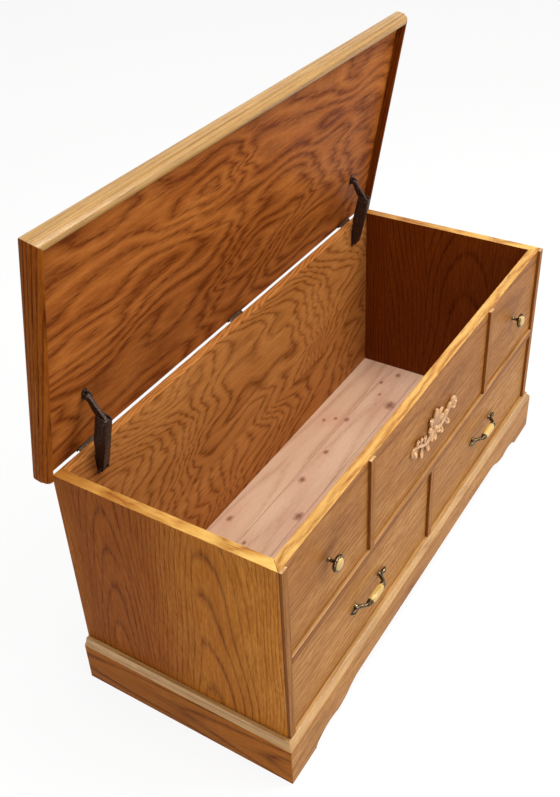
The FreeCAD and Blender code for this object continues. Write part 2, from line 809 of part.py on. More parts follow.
# Bow pulls: two posts, a bowed bar with leaf-shaped ends, and a turned grip on the bar's core.

def make_bow(body, post):
    """One side of the bow, from the grip out and back to its leaf-shaped end."""
    shoulder = "(grip_half + run_clear)"
    run = f"(post_spread + finial_start - {shoulder})"
    rise = "(bow_rise - finial_rise)"
    bend = f"(({run} ^ 2 + {rise} ^ 2) / (2 * {rise}))"
    angle = f"asin({run} / {bend})"
    side = add_sketch(body, "XY_Plane")
    corners = []
    for round_ in (f"({bend} + bow_radius)", f"({bend} - bow_radius)"):
        root = (f"{post} * {shoulder}", f"{bend} - bow_rise - {round_}")
        end = (f"{post} * ({shoulder} + {round_} * sin({angle}))",
               f"{bend} - bow_rise - {round_} * cos({angle})")
        corners.append((root, end, round_))
    (outer_root, outer_end, outer_round), (inner_root, inner_end, inner_round) = corners
    tip = (f"{post} * (post_spread + finial_long)", "-1 * finial_level")
    add_outline(side, [outer_root + (f"{post} * {outer_round}",),
                       outer_end + (f"{post} * finial_round",),
                       tip + (f"{post} * finial_round",),
                       inner_end + (f"{-post} * {inner_round}",), inner_root])
    pad(body, side, "2 * bow_radius", centred=True)


def make_pull(name, side):
    body = new_body(f"pull_{name}")
    for post in (-1, 1):
        leg = add_sketch(body, "XZ_Plane")
        add_circle(leg, f"{post} * post_spread", "0", "post_radius")
        pad(body, leg, "post_rise")
        make_bow(body, post)
        ferrule = add_sketch(body, "YZ_Plane", f"{post} * (grip_half + run_clear)")
        add_circle(ferrule, "-1 * bow_rise", "0", "ferrule_radius")
        pad(body, ferrule, "ferrule_long", flip=post < 0)
    core = add_sketch(body, "YZ_Plane")
    add_circle(core, "-1 * bow_rise", "0", "grip_core")
    pad(body, core, "2 * (grip_half + ferrule_long)", centred=True)
    place(body, f"{side} * {pull_offset}", front_face, "pull_height")
    grip = new_body(f"pull_grip_{name}")
    barrel = add_sketch(grip, "YZ_Plane")
    bore = "(grip_core + run_clear)"
    add_outline(barrel, [(bore, "-1 * grip_half"), ("grip_end", "-1 * grip_half"),
                         ("grip_radius", "-1 * grip_swell"), ("grip_radius", "grip_swell"),
                         ("grip_end", "grip_half"), (bore, "grip_half")])
    revolve(grip, barrel)
    grip.Placement = Placement(Vector(), Rotation(Vector(0, 1, 0), 90))
    place(grip, f"{side} * {pull_offset}", f"{front_face} - bow_rise", "pull_height")


# Carved onlay: a fan of leaves between two tendrils with curled tips.

def add_leaf(body, start, end, belly, hollow, thick):
    """A leaf or a crescent: two arcs between two points, each with its own belly."""
    half = f"((({end[0]}) - ({start[0]})) ^ 2 + (({end[1]}) - ({start[1]})) ^ 2) / 4"

    def bend(sagitta):
        return f"({half} + ({sagitta}) ^ 2) / (2 * ({sagitta}))"

    leaf = add_sketch(body, "XZ_Plane")
    add_outline(leaf, [start + (bend(belly),), end + (bend(hollow),)])
    pad(body, leaf, thick)


def add_fan(body, long, heading, spread, pairs):
    """Leaves that spread from the onlay's centre, each pair a little shorter."""
    for step in sorted(range(-pairs, pairs + 1), key=abs):
        angle = heading + spread * step
        shorter = 1 - 0.1 * abs(step)
        tip = (f"{long} * {shorter} * cos({angle})", f"{long} * {shorter} * sin({angle})")
        root = (f"-1 * boss_radius * cos({angle}) / 2", f"-1 * boss_radius * sin({angle}) / 2")
        thick = "onlay_thick" if step else "centre_thick"
        add_leaf(body, root, tip, "leaf_wide / 2", "leaf_wide / 2", thick)


def make_onlay():
    body = new_body("carved_onlay")
    boss = add_sketch(body, "XZ_Plane")
    add_circle(boss, "0", "0", "boss_radius")
    pad(body, boss, "centre_thick + 1")
    add_fan(body, "leaf_up", 90, 36, 2)
    add_fan(body, "leaf_down", 270, 45, 1)
    hollow = "tendril_wide - tendril_belly"
    for side in (-1, 1):
        join = (f"{side} * tendril_join", "-1 * tendril_level")
        tip = (f"{side} * tendril_tip", "tendril_level")
        inner = (f"{side} * (tendril_join - tendril_wide)", "-1 * tendril_level")
        root = (f"{side} * boss_radius / 3", "-1 * tendril_level / 2")
        for start, end in ((root, join), (inner, tip)):
            add_leaf(body, start, end, f"{side} * tendril_belly", f"{side} * ({hollow})",
                     "onlay_thick")
        curl = add_sketch(body, "XZ_Plane")
        add_circle(curl, f"{side} * (tendril_tip - curl_radius)",
                   "tendril_level + curl_radius / 2", "curl_radius")
        pad(body, curl, "centre_thick")
        for reach, angle in ((0.5, 66), (0.78, -46), (1.2, 56)):
            stem = (f"{side} * {reach} * tendril_join", "-0.8 * tendril_belly")
            end = (f"{stem[0]} + {side} * leaflet_long * cos({angle})",
                   f"{stem[1]} + leaflet_long * sin({angle})")
            add_leaf(body, stem, end, "leaflet_wide / 2", "leaflet_wide / 2", "onlay_thick")
    place(body, "0", front_face, "onlay_height")


make_front_board()
make_end_panel("end_panel_left", -1)
make_end_panel("end_panel_right", 1)
make_back_panel()
make_floor()
make_strips()
make_base_front()
make_base_side("base_left", -1)
make_base_side("base_right", 1)
make_base_inside()
make_lid_panel()
make_lid_edge_front()
make_lid_edge_side("lid_edge_left", -1)
make_lid_edge_side("lid_edge_right", 1)
make_hinges()
make_stay("left", -1)
make_stay("right", 1)
make_knob("left", -1)
make_knob("right", 1)
make_pull("left", -1)
make_pull("right", 1)
make_onlay()
doc.recompute()

for item in doc.Objects:
    if {"Invalid", "Error"} & set(item.State):
        raise RuntimeError(f"{item.Label} failed: {item.State}")

subparts = [item for item in doc.Objects
            if item.TypeId in ("PartDesign::Body", "Part::Compound")]
box = FreeCAD.BoundBox()
for item in subparts:
    if item.Shape.isNull() or not item.Shape.isValid():
        raise RuntimeError(f"{item.Label} has no valid shape")
    item.Shape.exportStep(f"parts/{item.Label}.step")
    box.add(item.Shape.BoundBox)
print(f"{len(subparts)} sub-parts")
print(f"x {box.XMin:.3f} to {box.XMax:.3f}")
print(f"y {box.YMin:.3f} to {box.YMax:.3f}")
print(f"z {box.ZMin:.3f} to {box.ZMax:.3f}")
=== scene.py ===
import json
import math

import bmesh
import bpy
from mathutils import Matrix, Vector

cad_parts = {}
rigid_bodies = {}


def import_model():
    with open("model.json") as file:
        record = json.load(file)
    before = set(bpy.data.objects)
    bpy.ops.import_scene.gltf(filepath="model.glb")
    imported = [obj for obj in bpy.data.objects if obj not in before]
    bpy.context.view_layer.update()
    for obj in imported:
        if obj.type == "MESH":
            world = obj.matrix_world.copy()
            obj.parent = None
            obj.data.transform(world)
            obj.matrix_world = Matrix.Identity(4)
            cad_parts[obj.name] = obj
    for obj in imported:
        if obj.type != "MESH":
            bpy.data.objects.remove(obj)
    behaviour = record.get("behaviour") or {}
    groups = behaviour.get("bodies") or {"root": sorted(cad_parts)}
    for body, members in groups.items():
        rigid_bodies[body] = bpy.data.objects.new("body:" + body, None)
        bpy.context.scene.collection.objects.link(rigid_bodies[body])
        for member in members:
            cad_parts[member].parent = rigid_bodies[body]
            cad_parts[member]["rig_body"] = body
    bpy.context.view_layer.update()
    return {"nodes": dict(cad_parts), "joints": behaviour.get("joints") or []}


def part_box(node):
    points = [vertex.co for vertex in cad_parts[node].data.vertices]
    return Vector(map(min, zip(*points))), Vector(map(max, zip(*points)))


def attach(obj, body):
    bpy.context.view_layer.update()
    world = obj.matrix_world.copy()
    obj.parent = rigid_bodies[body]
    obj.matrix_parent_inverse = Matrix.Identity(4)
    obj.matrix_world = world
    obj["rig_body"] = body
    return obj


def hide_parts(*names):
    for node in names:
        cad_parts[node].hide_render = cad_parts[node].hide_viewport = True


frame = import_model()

# Lengths are metres. X runs along the chest, the front faces -Y and Z is up.
nodes = frame["nodes"]
bodyOf = {name: piece["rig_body"] for name, piece in nodes.items()}
millimetre = 0.001
degree = math.pi / 180
x, y, z = Vector((1, 0, 0)), Vector((0, 1, 0)), Vector((0, 0, 1))


def toLinear(colour):
    # sRGB hex to the linear colour that a shader socket takes
    levels = [int(colour[start:start + 2], 16) / 255 for start in (1, 3, 5)]
    return [(level / 12.92 if level <= 0.04045 else ((level + 0.055) / 1.055) ** 2.4)
            for level in levels] + [1]


def addNode(tree, kind, values=None, **settings):
    # values fill the new node's sockets; a node stands for its first output
    node = tree.nodes.new(kind)
    for name, value in settings.items():
        setattr(node, name, value)
    for name, value in (values or {}).items():
        if isinstance(value, bpy.types.Node):
            value = value.outputs[0]
        if isinstance(value, bpy.types.NodeSocket):
            tree.links.new(value, node.inputs[name])
        else:
            node.inputs[name].default_value = value
    return node


def newMaterial(name):
    material = bpy.data.materials.new(name)
    material.use_nodes = True
    material.node_tree.nodes.clear()
    return material, material.node_tree


def newPiece(name, bm, material, body, smooth=True, replaced=()):
    # one finished mesh: its place is in its vertices and it rides on a body
    mesh = bpy.data.meshes.new(name)
    bm.to_mesh(mesh)
    bm.free()
    piece = bpy.data.objects.new(name, mesh)
    bpy.context.scene.collection.objects.link(piece)
    mesh.materials.append(material)
    for face in mesh.polygons:
        face.use_smooth = smooth
    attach(piece, body)
    if replaced:
        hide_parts(*replaced)
    return piece


# What every oak finish starts from. oakPieces changes it for each piece of the chest.
oakBase = {
    "light": "#c08a4d", "mid": "#a9713a", "dark": "#7a4419",
    "ringWide": 6.0,           # mm between growth rings
    "depth": 30.0,             # mm from the face down to the tree's heart
    "slope": 0.06,             # fall of the heart line below the face, along the board
    "crown": 1.0,              # 1 for a sawn board, near 0 for veneer peeled off a turning log
    "teeth": (8, 6, 50),       # jags along the grain: mm, then waves per metre along and across
    "bend": (14, 1.6, 3.0),    # slow bends across, as teeth
    "swell": (4, 1.5, 3.0),    # slow swells in depth, as teeth
    "figure": 0.8,             # strength of the ring lines
    "lineWide": 0.35,          # share of each ring that its dark line takes
    "pores": 0.8,              # strength of the fine streaks
    "patch": 0.6,              # strength of the slow change of colour
    "gloss": 0.42,             # roughness under the lacquer
    "shine": 0.05,             # strength of the lacquer's own reflection
}
# Waves per metre along, across and into the wood, then detail. Real pores are 0.3 mm wide: they
# are drawn a few times wider, or they would not show.
grainNoises = (((55, 560, 560), 2), ((12, 190, 190), 3), ((2.2, 11, 11), 2))
oakDetail = {
    "streakLevels": (0.83, 1.17),     # sum of pores and streaks that leaves none, and that fills
    "patchLevels": (0.3, 0.7),
    # darkness at a ring's start and end, and at shares of the line's width after and before them
    "ringEnds": (0.85, 1.0), "ringStarts": ((0.3, 0.5), (0.76, 0.1)),
    "ringCloses": ((0.8, 0.0), (0.28, 0.5)),
    "lineClear": 0.5, "lineStreaked": 0.6,    # ring line in clear wood, and what streaks add to it
    "relief": 0.12, "reliefDeep": 0.4,        # strength, and depth in mm
    "smoother": 0.05, "rougher": 0.10,        # spread of the roughness about gloss
    "coatShare": 3,                           # shine divided by this is the coat's weight
    "coatRoughness": 0.2, "ior": 1.5,
}


def oakFinish(name, **changes):
    # Red oak, stained and lacquered: its open-pored growth bands give the eye dark streaked lines
    # between smooth bands, cathedral arches on flat-sawn faces, and a soft satin sheen.
    look = dict(oakBase, **changes)
    material, tree = newMaterial(name)
    maths, vectors = "ShaderNodeMath", "ShaderNodeVectorMath"

    def drift(place, reach, wavesU, wavesV, detail):
        # smooth noise, up to so many mm each way
        place = addNode(tree, vectors, {0: place, 1: (wavesU, wavesV, wavesV)},
                        operation="MULTIPLY")
        noise = addNode(tree, "ShaderNodeTexNoise", {"Vector": place, "Scale": 1,
                                                     "Detail": detail})
        return addNode(tree, maths, {0: noise, 1: 4 * reach * millimetre,
                                     2: -2 * reach * millimetre}, operation="MULTIPLY_ADD")

    grain = addNode(tree, "ShaderNodeAttribute", attribute_name="grain").outputs["Vector"]
    u, v, w = addNode(tree, "ShaderNodeSeparateXYZ", {0: grain}).outputs
    u = addNode(tree, maths, {0: u, 1: drift(grain, *look["teeth"], 3)})
    jagged = addNode(tree, "ShaderNodeCombineXYZ", {0: u, 1: v, 2: w})
    side = addNode(tree, maths, {0: v, 1: drift(jagged, *look["bend"], 1)})
    side = addNode(tree, maths, {0: side, 1: look["crown"]}, operation="MULTIPLY")
    below = addNode(tree, maths, {0: w, 1: drift(jagged, *look["swell"], 1.5)})
    below = addNode(tree, maths, {0: below, 1: look["depth"] * millimetre})
    below = addNode(tree, maths, {0: u, 1: look["slope"], 2: below}, operation="MULTIPLY_ADD")
    across = addNode(tree, "ShaderNodeCombineXYZ", {0: side, 1: below})
    radius = addNode(tree, vectors, {0: across}, operation="LENGTH").outputs["Value"]
    rings = addNode(tree, maths, {0: radius, 1: 1 / (look["ringWide"] * millimetre)},
                    operation="MULTIPLY")
    ring = addNode(tree, maths, {0: rings}, operation="FRACT")
    band = addNode(tree, "ShaderNodeValToRGB", {0: ring})
    stops = band.color_ramp.elements
    for stop, level in zip(stops, oakDetail["ringEnds"]):
        stop.color = (level, level, level, 1)
    wide = look["lineWide"]
    places = [(share * wide, level) for share, level in oakDetail["ringStarts"]]
    places += [(1 - share * wide, level) for share, level in oakDetail["ringCloses"]]
    for place, level in places:
        stops.new(place).color = (level, level, level, 1)
    noises = []
    for waves, detail in grainNoises:
        place = addNode(tree, vectors, {0: grain, 1: waves}, operation="MULTIPLY")
        noises.append(addNode(tree, "ShaderNodeTexNoise", {"Vector": place, "Scale": 1,
                                                           "Detail": detail, "Roughness": 0.6}))
    pores, streaks, patches = noises
    streak = addNode(tree, maths, {0: pores, 1: streaks})
    least, most = oakDetail["streakLevels"]
    streak = addNode(tree, "ShaderNodeMapRange", {0: streak, 1: least, 2: most})
    least, most = oakDetail["patchLevels"]
    patches = addNode(tree, "ShaderNodeMapRange", {0: patches, 1: least, 2: most})
    ground = addNode(tree, maths, {0: patches, 1: look["patch"]}, operation="MULTIPLY")
    haze = addNode(tree, maths, {0: streak, 1: look["pores"]}, operation="MULTIPLY")
    line = addNode(tree, maths, {0: streak, 1: oakDetail["lineStreaked"],
                                 2: oakDetail["lineClear"]}, operation="MULTIPLY_ADD")
    line = addNode(tree, maths, {0: line, 1: patches, 2: line}, operation="MULTIPLY_ADD")
    line = addNode(tree, maths, {0: line, 1: band.outputs[0]}, operation="MULTIPLY")
    line = addNode(tree, maths, {0: line, 1: look["figure"]}, operation="MULTIPLY")
    colour = toLinear(look["light"])
    for share, stain in ((ground, "mid"), (haze, "mid"), (line, "dark")):
        mixed = addNode(tree, "ShaderNodeMix", {0: share, 6: colour, 7: toLinear(look[stain])},
                        data_type="RGBA")
        colour = mixed.outputs[2]
    tone = addNode(tree, "ShaderNodeAttribute", attribute_name="tone").outputs["Vector"]
    shade = addNode(tree, vectors, {0: colour, 1: tone}, operation="MULTIPLY")
    relief = addNode(tree, "ShaderNodeBump",
                     {"Strength": oakDetail["relief"], "Height": streak,
                      "Distance": oakDetail["reliefDeep"] * millimetre})
    sheen = addNode(tree, "ShaderNodeMapRange",
                    {0: streak, 3: look["gloss"] - oakDetail["smoother"],
                     4: look["gloss"] + oakDetail["rougher"]})
    shader = addNode(tree, "ShaderNodeBsdfPrincipled",
                     {"Base Color": shade, "Roughness": sheen, "IOR": oakDetail["ior"],
                      "Normal": relief, "Specular IOR Level": look["shine"],
                      "Coat Weight": look["shine"] / oakDetail["coatShare"],
                      "Coat Roughness": oakDetail["coatRoughness"]})
    addNode(tree, "ShaderNodeOutputMaterial", {0: shader})
    return material


# mm, how far each kind of piece has its arrises rounded over
easing = {"oak": 1.0, "cedar": 0.25, "pine": 0.6, "stay": 0.4, "hinge": 0.25}
flatWithin, arrisFrom = 0.5 * degree, 25 * degree   # a turn that is still flat, and an arris
arrisSteps, weldWithin = 2, 0.01 * millimetre


def softenedCopy(node, kind, above=None):
    # a merged copy of a CAD node with its arrises eased: all of them, or those above a height
    bm = bmesh.new()
    bm.from_mesh(nodes[node].data)
    bmesh.ops.remove_doubles(bm, verts=bm.verts, dist=weldWithin)
    bmesh.ops.dissolve_limit(bm, angle_limit=flatWithin, verts=bm.verts, edges=bm.edges)
    sharp = [edge for edge in bm.edges if len(edge.link_faces) == 2
             and edge.calc_face_angle(0) > arrisFrom
             and (above is None or (edge.verts[0].co + edge.verts[1].co).z / 2 > above)]
    bmesh.ops.bevel(bm, geom=sharp, offset=easing[kind] * millimetre, segments=arrisSteps,
                    profile=0.5, affect="EDGES", clamp_overlap=True)
    return bm


facing = 0.8              # how nearly a face looks one way to count as facing it
redder = (1, 1.6, 2.2)    # powers of a board's level in red, green and blue
endShift = (0.5, 0.02, 0)          # where in its board the grain of a banded end lies, in metres
jointBlend = 0.1 * millimetre      # a corner this near to a joint belongs to both boards


def layGrain(bm, run, width, start, strips=(), shifts=(), tones=(1,), tints=(), banded=False):
    # Writes each corner's place in its own board: along the grain, across it and into it.
    # Glued-up boards are cut apart at their joints first, so that each has its own figure.
    # tones are the boards' levels, a darker one redder too, and blend between their joints.
    # tints gives what faces a direction its own colour, or two to blend across the board. Some of
    # them paint shade on faces that look away from the light.
    # banded ends have grain along the edge.
    depthWay = run.cross(width)
    reach = max((vert.co - start).dot(width) for vert in bm.verts)
    for cut in strips:
        bmesh.ops.bisect_plane(bm, geom=bm.verts[:] + bm.edges[:] + bm.faces[:],
                               plane_co=start + width * cut, plane_no=width)
    grainLayer = bm.loops.layers.float_vector.new("grain")
    toneLayer = bm.loops.layers.float_vector.new("tone")
    for face in bm.faces:
        middle = (face.calc_center_median() - start).dot(width)
        index = sum(middle > cut for cut in strips)
        shift = Vector(shifts[index % len(shifts)]) if shifts else Vector()
        tinted = [colours for way, *colours in tints if face.normal.dot(way) > facing]
        ways = (run, width, depthWay)
        if banded and abs(face.normal.dot(run)) > facing:
            ways, shift = (width, depthWay, run), Vector(endShift)
        for loop in face.loops:
            place = loop.vert.co - start
            loop[grainLayer] = Vector([place.dot(way) for way in ways]) + shift
            away = place.dot(width)
            sides = [sum(away + nudge > cut for cut in strips)
                     for nudge in (-jointBlend, jointBlend)]
            level = sum(tones[side % len(tones)] for side in sides) / 2
            loop[toneLayer] = Vector([level ** power for power in redder])
            for near, *far in tinted:
                loop[toneLayer] = Vector(near).lerp(Vector((far or [near])[0]), away / reach)
    return bm


oakPieces = {
    # the front's boards: wide arches with frayed edges on straw brown
    "fields": dict(light="#c08c4e", mid="#98642f", dark="#744318", ringWide=13, depth=18,
                   slope=0.03, bend=(14, 1.5, 7), teeth=(10, 5, 60), figure=0.45, pores=0.95,
                   patch=0.8),
    # the strips on them: close straight lines, a shade darker
    "strips": dict(light="#a36e33", mid="#895622", dark="#673611", ringWide=6, depth=60,
                   slope=0.01, figure=0.4),
    # the ends: tall narrow arches up the board, warm orange brown
    "end": dict(light="#b5742c", mid="#945215", dark="#66320c", ringWide=7.5, depth=22,
                slope=0.07, bend=(20, 2.2, 3.0), teeth=(6, 6, 60), figure=0.6, lineWide=0.24,
                pores=0.9, shine=0.03),
    # the lid: peeled veneer, with great wandering islands of dark red brown
    "panel": dict(light="#b56e32", mid="#8f4a18", dark="#6a310d", ringWide=16, depth=60,
                  slope=0.015, crown=0.22, bend=(30, 2.0, 4.0), swell=(74, 1.9, 4.4),
                  teeth=(28, 6, 44), figure=0.85, lineWide=0.6, pores=0.5, patch=0.7, shine=0.03),
    # the back: loops and zigzags on golden brown
    "back": dict(light="#c68648", mid="#9d5b23", dark="#753e15", ringWide=7, depth=50,
                 slope=0.13, crown=0.5, bend=(40, 2.5, 5.0), swell=(28, 2.4, 5.0),
                 teeth=(22, 5, 34), figure=0.7, lineWide=0.4, pores=0.6, shine=0.03),
    # the lid's front edging: nearly straight lines, olive gold and glossier
    "moulding": dict(light="#a98247", mid="#8e6832", dark="#6c491b", ringWide=9, depth=50,
                     slope=0.012, figure=0.5, shine=0.4, gloss=0.3),
    # the base and the lid's side edgings: rusty orange, thick with pores
    "base": dict(light="#b06c28", mid="#8e4f16", dark="#5c2b0a", ringWide=7, depth=30,
                 slope=0.03, figure=0.7, pores=0.95, shine=0.015, gloss=0.3),
    # upper faces of strips and base: a paler copy of the oak, painted light for the light falling
    # on them from above; faintly lined and glossy
    "ledge": dict(light="#caa067", mid="#ad8148", dark="#84552a", ringWide=10, depth=30,
                  slope=0.03, figure=0.45, pores=0.95, shine=0.6, gloss=0.25),
    # the rim: light yellow, a paler copy of the oak that paints the light falling on the top
    # edges, crossed by wavy brown streaks of grain
    "rim": dict(light="#e0be76", mid="#c99a4c", dark="#94591e", ringWide=15, depth=12,
                slope=0.02, swell=(14, 8, 12), figure=0.65, lineWide=0.6, shine=0.15),
}
oak = {name: oakFinish("stainedOak_" + name, **look) for name, look in oakPieces.items()}

low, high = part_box("front_board")
frontY, rimZ = low.y, high.z
boardThick = high.y - low.y
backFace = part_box("back_panel")[1].y
lidHinge = [joint for joint in frame["joints"] if joint["name"] == "lid_hinge"][0]
hingeAt = Vector(lidHinge["pos_m"])
openAngle = 79.4 * degree
lidWay = Vector((0, -math.cos(openAngle), math.sin(openAngle)))   # from the hinge to the front
lidOut = Vector((0, math.sin(openAngle), math.cos(openAngle)))    # up when the lid is shut


def woodPiece(node, finish, run, width, onTop=None, topFrom=facing, topDeep=0, above=None,
              start=None, **boards):
    # onTop is the finish of what faces up, and of all that lies within topDeep mm of the top: a
    # paler copy that paints the light falling on the tops
    low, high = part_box(node)
    bm = softenedCopy(node, "oak", above)
    layGrain(bm, run, width, start or low, **boards)
    if onTop:
        for face in bm.faces:
            face.material_index = (face.normal.z > topFrom or
                                   face.calc_center_median().z > high.z - topDeep * millimetre)
    piece = newPiece(node + "_wood", bm, oak[finish], bodyOf[node], smooth=False,
                     replaced=(node,))
    if onTop:
        piece.data.materials.append(oak[onTop])


# Each piece's finish, the way of its grain and the way across it. strips are joints between
# glued-up boards, in metres across, and shifts move each board's figure, so that none repeats.
topEdge = (z, (1.0, 1.0, 0.9), (0.64, 0.43, 0.24))   # tints of an end's top, front and back
belowRim = rimZ - millimetre
oakBoards = {
    "front_board": dict(
        finish="fields", run=x, width=z, onTop="rim", above=belowRim, strips=(0.13, 0.262, 0.37),
        shifts=((0.3, 0.02, 0), (1.7, -0.06, 0.01), (3.1, 0.0, 0.004), (4.4, -0.4, 0)),
        tones=(1.0, 0.98, 0.88, 0.82)),
    "end_panel_left": dict(
        finish="end", run=z, width=y, onTop="rim", above=belowRim, banded=True,
        strips=(0.05, 0.17, 0.285, 0.42),
        shifts=((0.4, -0.56, 0), (1.2, -0.16, 0), (2.6, -0.05, 0), (0.1, -0.36, 0),
                (2.0, -0.92, 0)),
        tones=(1.15, 1.06, 1.0, 0.5, 0.82), tints=(topEdge,)),
    "end_panel_right": dict(
        finish="end", run=z, width=y, onTop="rim", above=belowRim, banded=True,
        strips=(0.11, 0.27, 0.38),
        shifts=((3.4, -0.56, 0), (2.6, -0.15, 0), (5.1, -0.62, 0), (6.0, -1.2, 0)),
        # its inner face, which looks to -x, is darkened and reddened: painted shade inside the
        # chest
        tones=(1.0, 0.95, 1.02, 0.9), tints=((-x, (0.42, 0.26, 0.2)), topEdge)),
    "back_panel": dict(
        finish="back", run=x, width=z, strips=(0.18,), tones=(0.95, 1.0),
        shifts=((0.7, -0.1, 0.03), (0.2, -0.3, 0))),
}
# The strips' faces that look to -x are darkened and reddened: painted shade on their walls.
stripBoard = dict(finish="strips", run=z, width=x, onTop="ledge",
                  tints=((-x, (0.66, 0.52, 0.44)),))
for number, name in enumerate(("stile_left", "stile_right", "mullion_upper_left",
                               "mullion_upper_right", "mullion_lower")):
    oakBoards[name] = dict(stripBoard, shifts=((0.9 * number, -0.05, 0),))
oakBoards["mid_rail"] = dict(finish="strips", run=x, width=z, onTop="ledge", topFrom=0.3,
                             shifts=((0.2, -0.07, 0),), tones=(0.86,))
for name, finish, run, shift in (("base_front", "fields", x, 0.2), ("base_left", "base", y, 2.2),
                                 ("base_right", "base", y, 3.2)):
    oakBoards[name] = dict(finish=finish, run=run, width=z, onTop="ledge", topFrom=0.3,
                           topDeep=6, shifts=((shift, -0.05, 0),))
# The panel's colours follow its underside as it looks in shade, so they carry some painted shade;
# the outer face is tinted less red.
oakBoards["lid_panel"] = dict(finish="panel", run=x, width=lidWay, start=hingeAt,
                              shifts=((0.7, -0.2, 0),), tints=((lidOut, (0.86, 1.0, 1.15)),))
oakBoards["lid_edge_front"] = dict(finish="moulding", run=x, width=lidWay, start=hingeAt,
                                   shifts=((0.3, -0.5, 0),))
# The right edging's low tone of 0.55 is painted shade along the lid's right side.
for name, shift, tone in (("lid_edge_left", (0.3, 0.6, 0), 0.74),
                          ("lid_edge_right", (1.3, -0.6, 0), 0.55)):
    oakBoards[name] = dict(finish="base", run=lidWay, width=x, start=hingeAt, shifts=(shift,),
                           tones=(tone,))
for node, values in oakBoards.items():
    woodPiece(node, **values)
print("oak pieces dressed")

# Bare aromatic cedar: the same growth lines seen soft and pink, with no shine.
cedar = {
    "light": "#dcbea2", "mid": "#c89f80", "dark": "#a26c50", "ringWide": 9, "depth": 25,
    "slope": 0.02, "bend": (12, 1.4, 4.0), "teeth": (3, 4, 25), "figure": 0.3, "pores": 0.35,
    "patch": 0.7, "gloss": 0.6, "shine": 0.05,
}
# metres that each next board's figure moves along it and outward, its place across, and how much
# darker each next one of three tones is
cedarBoards = {"along": 0.61, "outward": 0.002, "across": -0.04, "darker": 0.02, "tones": 3}
knots = {
    # each layer's colour, its size in radii, its roundness (less runs along the board), strength
    "layers": (("#c48a76", 3.2, 0.35, 0.3), ("#74402a", 1.0, 0.7, 0.8)),
    "raggedScale": 130, "ragged": 0.9,   # noise that frays the edge, and how far in radii
    "edgeFrom": 0.7, "edgeTo": 1.5,      # radii between which the colour fades out
    # x and y of each knot's middle and its radius, in metres
    "places": ((0.53, 0.095, 0.0085), (0.48, 0.12, 0.006), (0.43, 0.1, 0.005),
               (0.4, 0.055, 0.016), (0.265, 0.175, 0.0055), (0.285, 0.152, 0.006),
               (0.295, 0.125, 0.008), (0.157, 0.108, 0.008), (0.042, 0.108, 0.010),
               (-0.152, 0.185, 0.0085), (-0.07, 0.052, 0.013), (-0.2, 0.115, 0.006),
               (-0.35, 0.03, 0.009), (-0.46, -0.13, 0.008), (0.2, -0.09, 0.010),
               (0.03, -0.15, 0.007)),
}


def addKnots(material):
    # dark ragged knots, each in a reddish flush that runs out along the board
    tree = material.node_tree
    shader = [node for node in tree.nodes if node.type == "BSDF_PRINCIPLED"][0]
    colour = shader.inputs["Base Color"].links[0].from_socket
    place = addNode(tree, "ShaderNodeTexCoord").outputs["Object"]
    ragged = addNode(tree, "ShaderNodeTexNoise",
                     {"Vector": place, "Scale": knots["raggedScale"], "Detail": 2})
    for atX, atY, radius in knots["places"]:
        for tint, size, reach, strength in knots["layers"]:
            offset = addNode(tree, "ShaderNodeVectorMath", {0: place, 1: (-atX, -atY, -floorTop)})
            offset = addNode(tree, "ShaderNodeVectorMath", {0: offset, 1: (reach, 1, 0)},
                             operation="MULTIPLY")
            away = addNode(tree, "ShaderNodeVectorMath", {0: offset}, operation="LENGTH")
            away = addNode(tree, "ShaderNodeMath", {0: ragged, 1: radius * size * knots["ragged"],
                                                    2: away.outputs["Value"]},
                           operation="MULTIPLY_ADD")
            share = addNode(tree, "ShaderNodeMapRange",
                            {0: away, 1: radius * size * knots["edgeFrom"],
                             2: radius * size * knots["edgeTo"], 3: strength, 4: 0.0})
            mixed = addNode(tree, "ShaderNodeMix", {0: share, 6: colour, 7: toLinear(tint)},
                            data_type="RGBA")
            colour = mixed.outputs[2]
    tree.links.new(colour, shader.inputs["Base Color"])


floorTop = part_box("cedar_board_1")[1].z
cedarWood = oakFinish("aromaticCedar", **cedar)
addKnots(cedarWood)
for number in range(1, 6):
    name = f"cedar_board_{number}"
    bm = softenedCopy(name, "cedar")
    shift = (cedarBoards["along"] * number, cedarBoards["across"],
             cedarBoards["outward"] * number)
    layGrain(bm, x, y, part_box(name)[0], shifts=(shift,),
             tones=(1 - cedarBoards["darker"] * (number % cedarBoards["tones"]),))
    newPiece(name + "_wood", bm, cedarWood, "chest", smooth=False, replaced=(name,))
# Sawn pine and plywood, left bare: pale yellow with faint lines and a dry, dull face.
pine = oakFinish("sawnPine", light="#d9b27c", mid="#cda36b", dark="#b07f48", figure=0.4, gloss=0.6)
for name, slot in (("base_back", "pine"), ("corner_blocks", "pine"), ("bottom_panel", "plywood")):
    bm = softenedCopy(name, "pine")
    layGrain(bm, x, z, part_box(name)[0])
    newPiece(name + "_wood", bm, pine, "chest", smooth=False, replaced=(name,))
print("floor and base inside dressed")

metals = {
    # cast brass, blackened and then rubbed: dark olive with bright pale-gold spots and edges
    "antiqueBrass": dict(colour="#453522", rubbed="#cdb88c", metallic=0.95, roughness=0.2,
                         spotScale=420),
    # folded steel under brown lacquer: nearly black, with a dull warm shine
    "bronzeLacquer": dict(colour="#2c1a12", rubbed="#6b5140", metallic=0.5, roughness=0.38,
                          spotScale=300),
    # rolled steel with a thin bronze coat: brown and duller still
    "hingeBronze": dict(colour="#3a2616", rubbed="#5a4028", metallic=0.6, roughness=0.45,
                        spotScale=300),
    # bronzed screw steel: small grey-brown glints
    "bronzedSteel": dict(colour="#4a3a2c", rubbed="#9a8768", metallic=0.9, roughness=0.3,
                         spotScale=600),
}
metalDetail = {
    "rubbedFrom": 0.52, "rubbedTo": 0.78,   # noise levels between which the metal is rubbed bright
    "relief": 0.06, "reliefDeep": 0.3,      # strength, and depth in mm
    "duller": 0.1,                          # roughness that the unrubbed metal has more
}


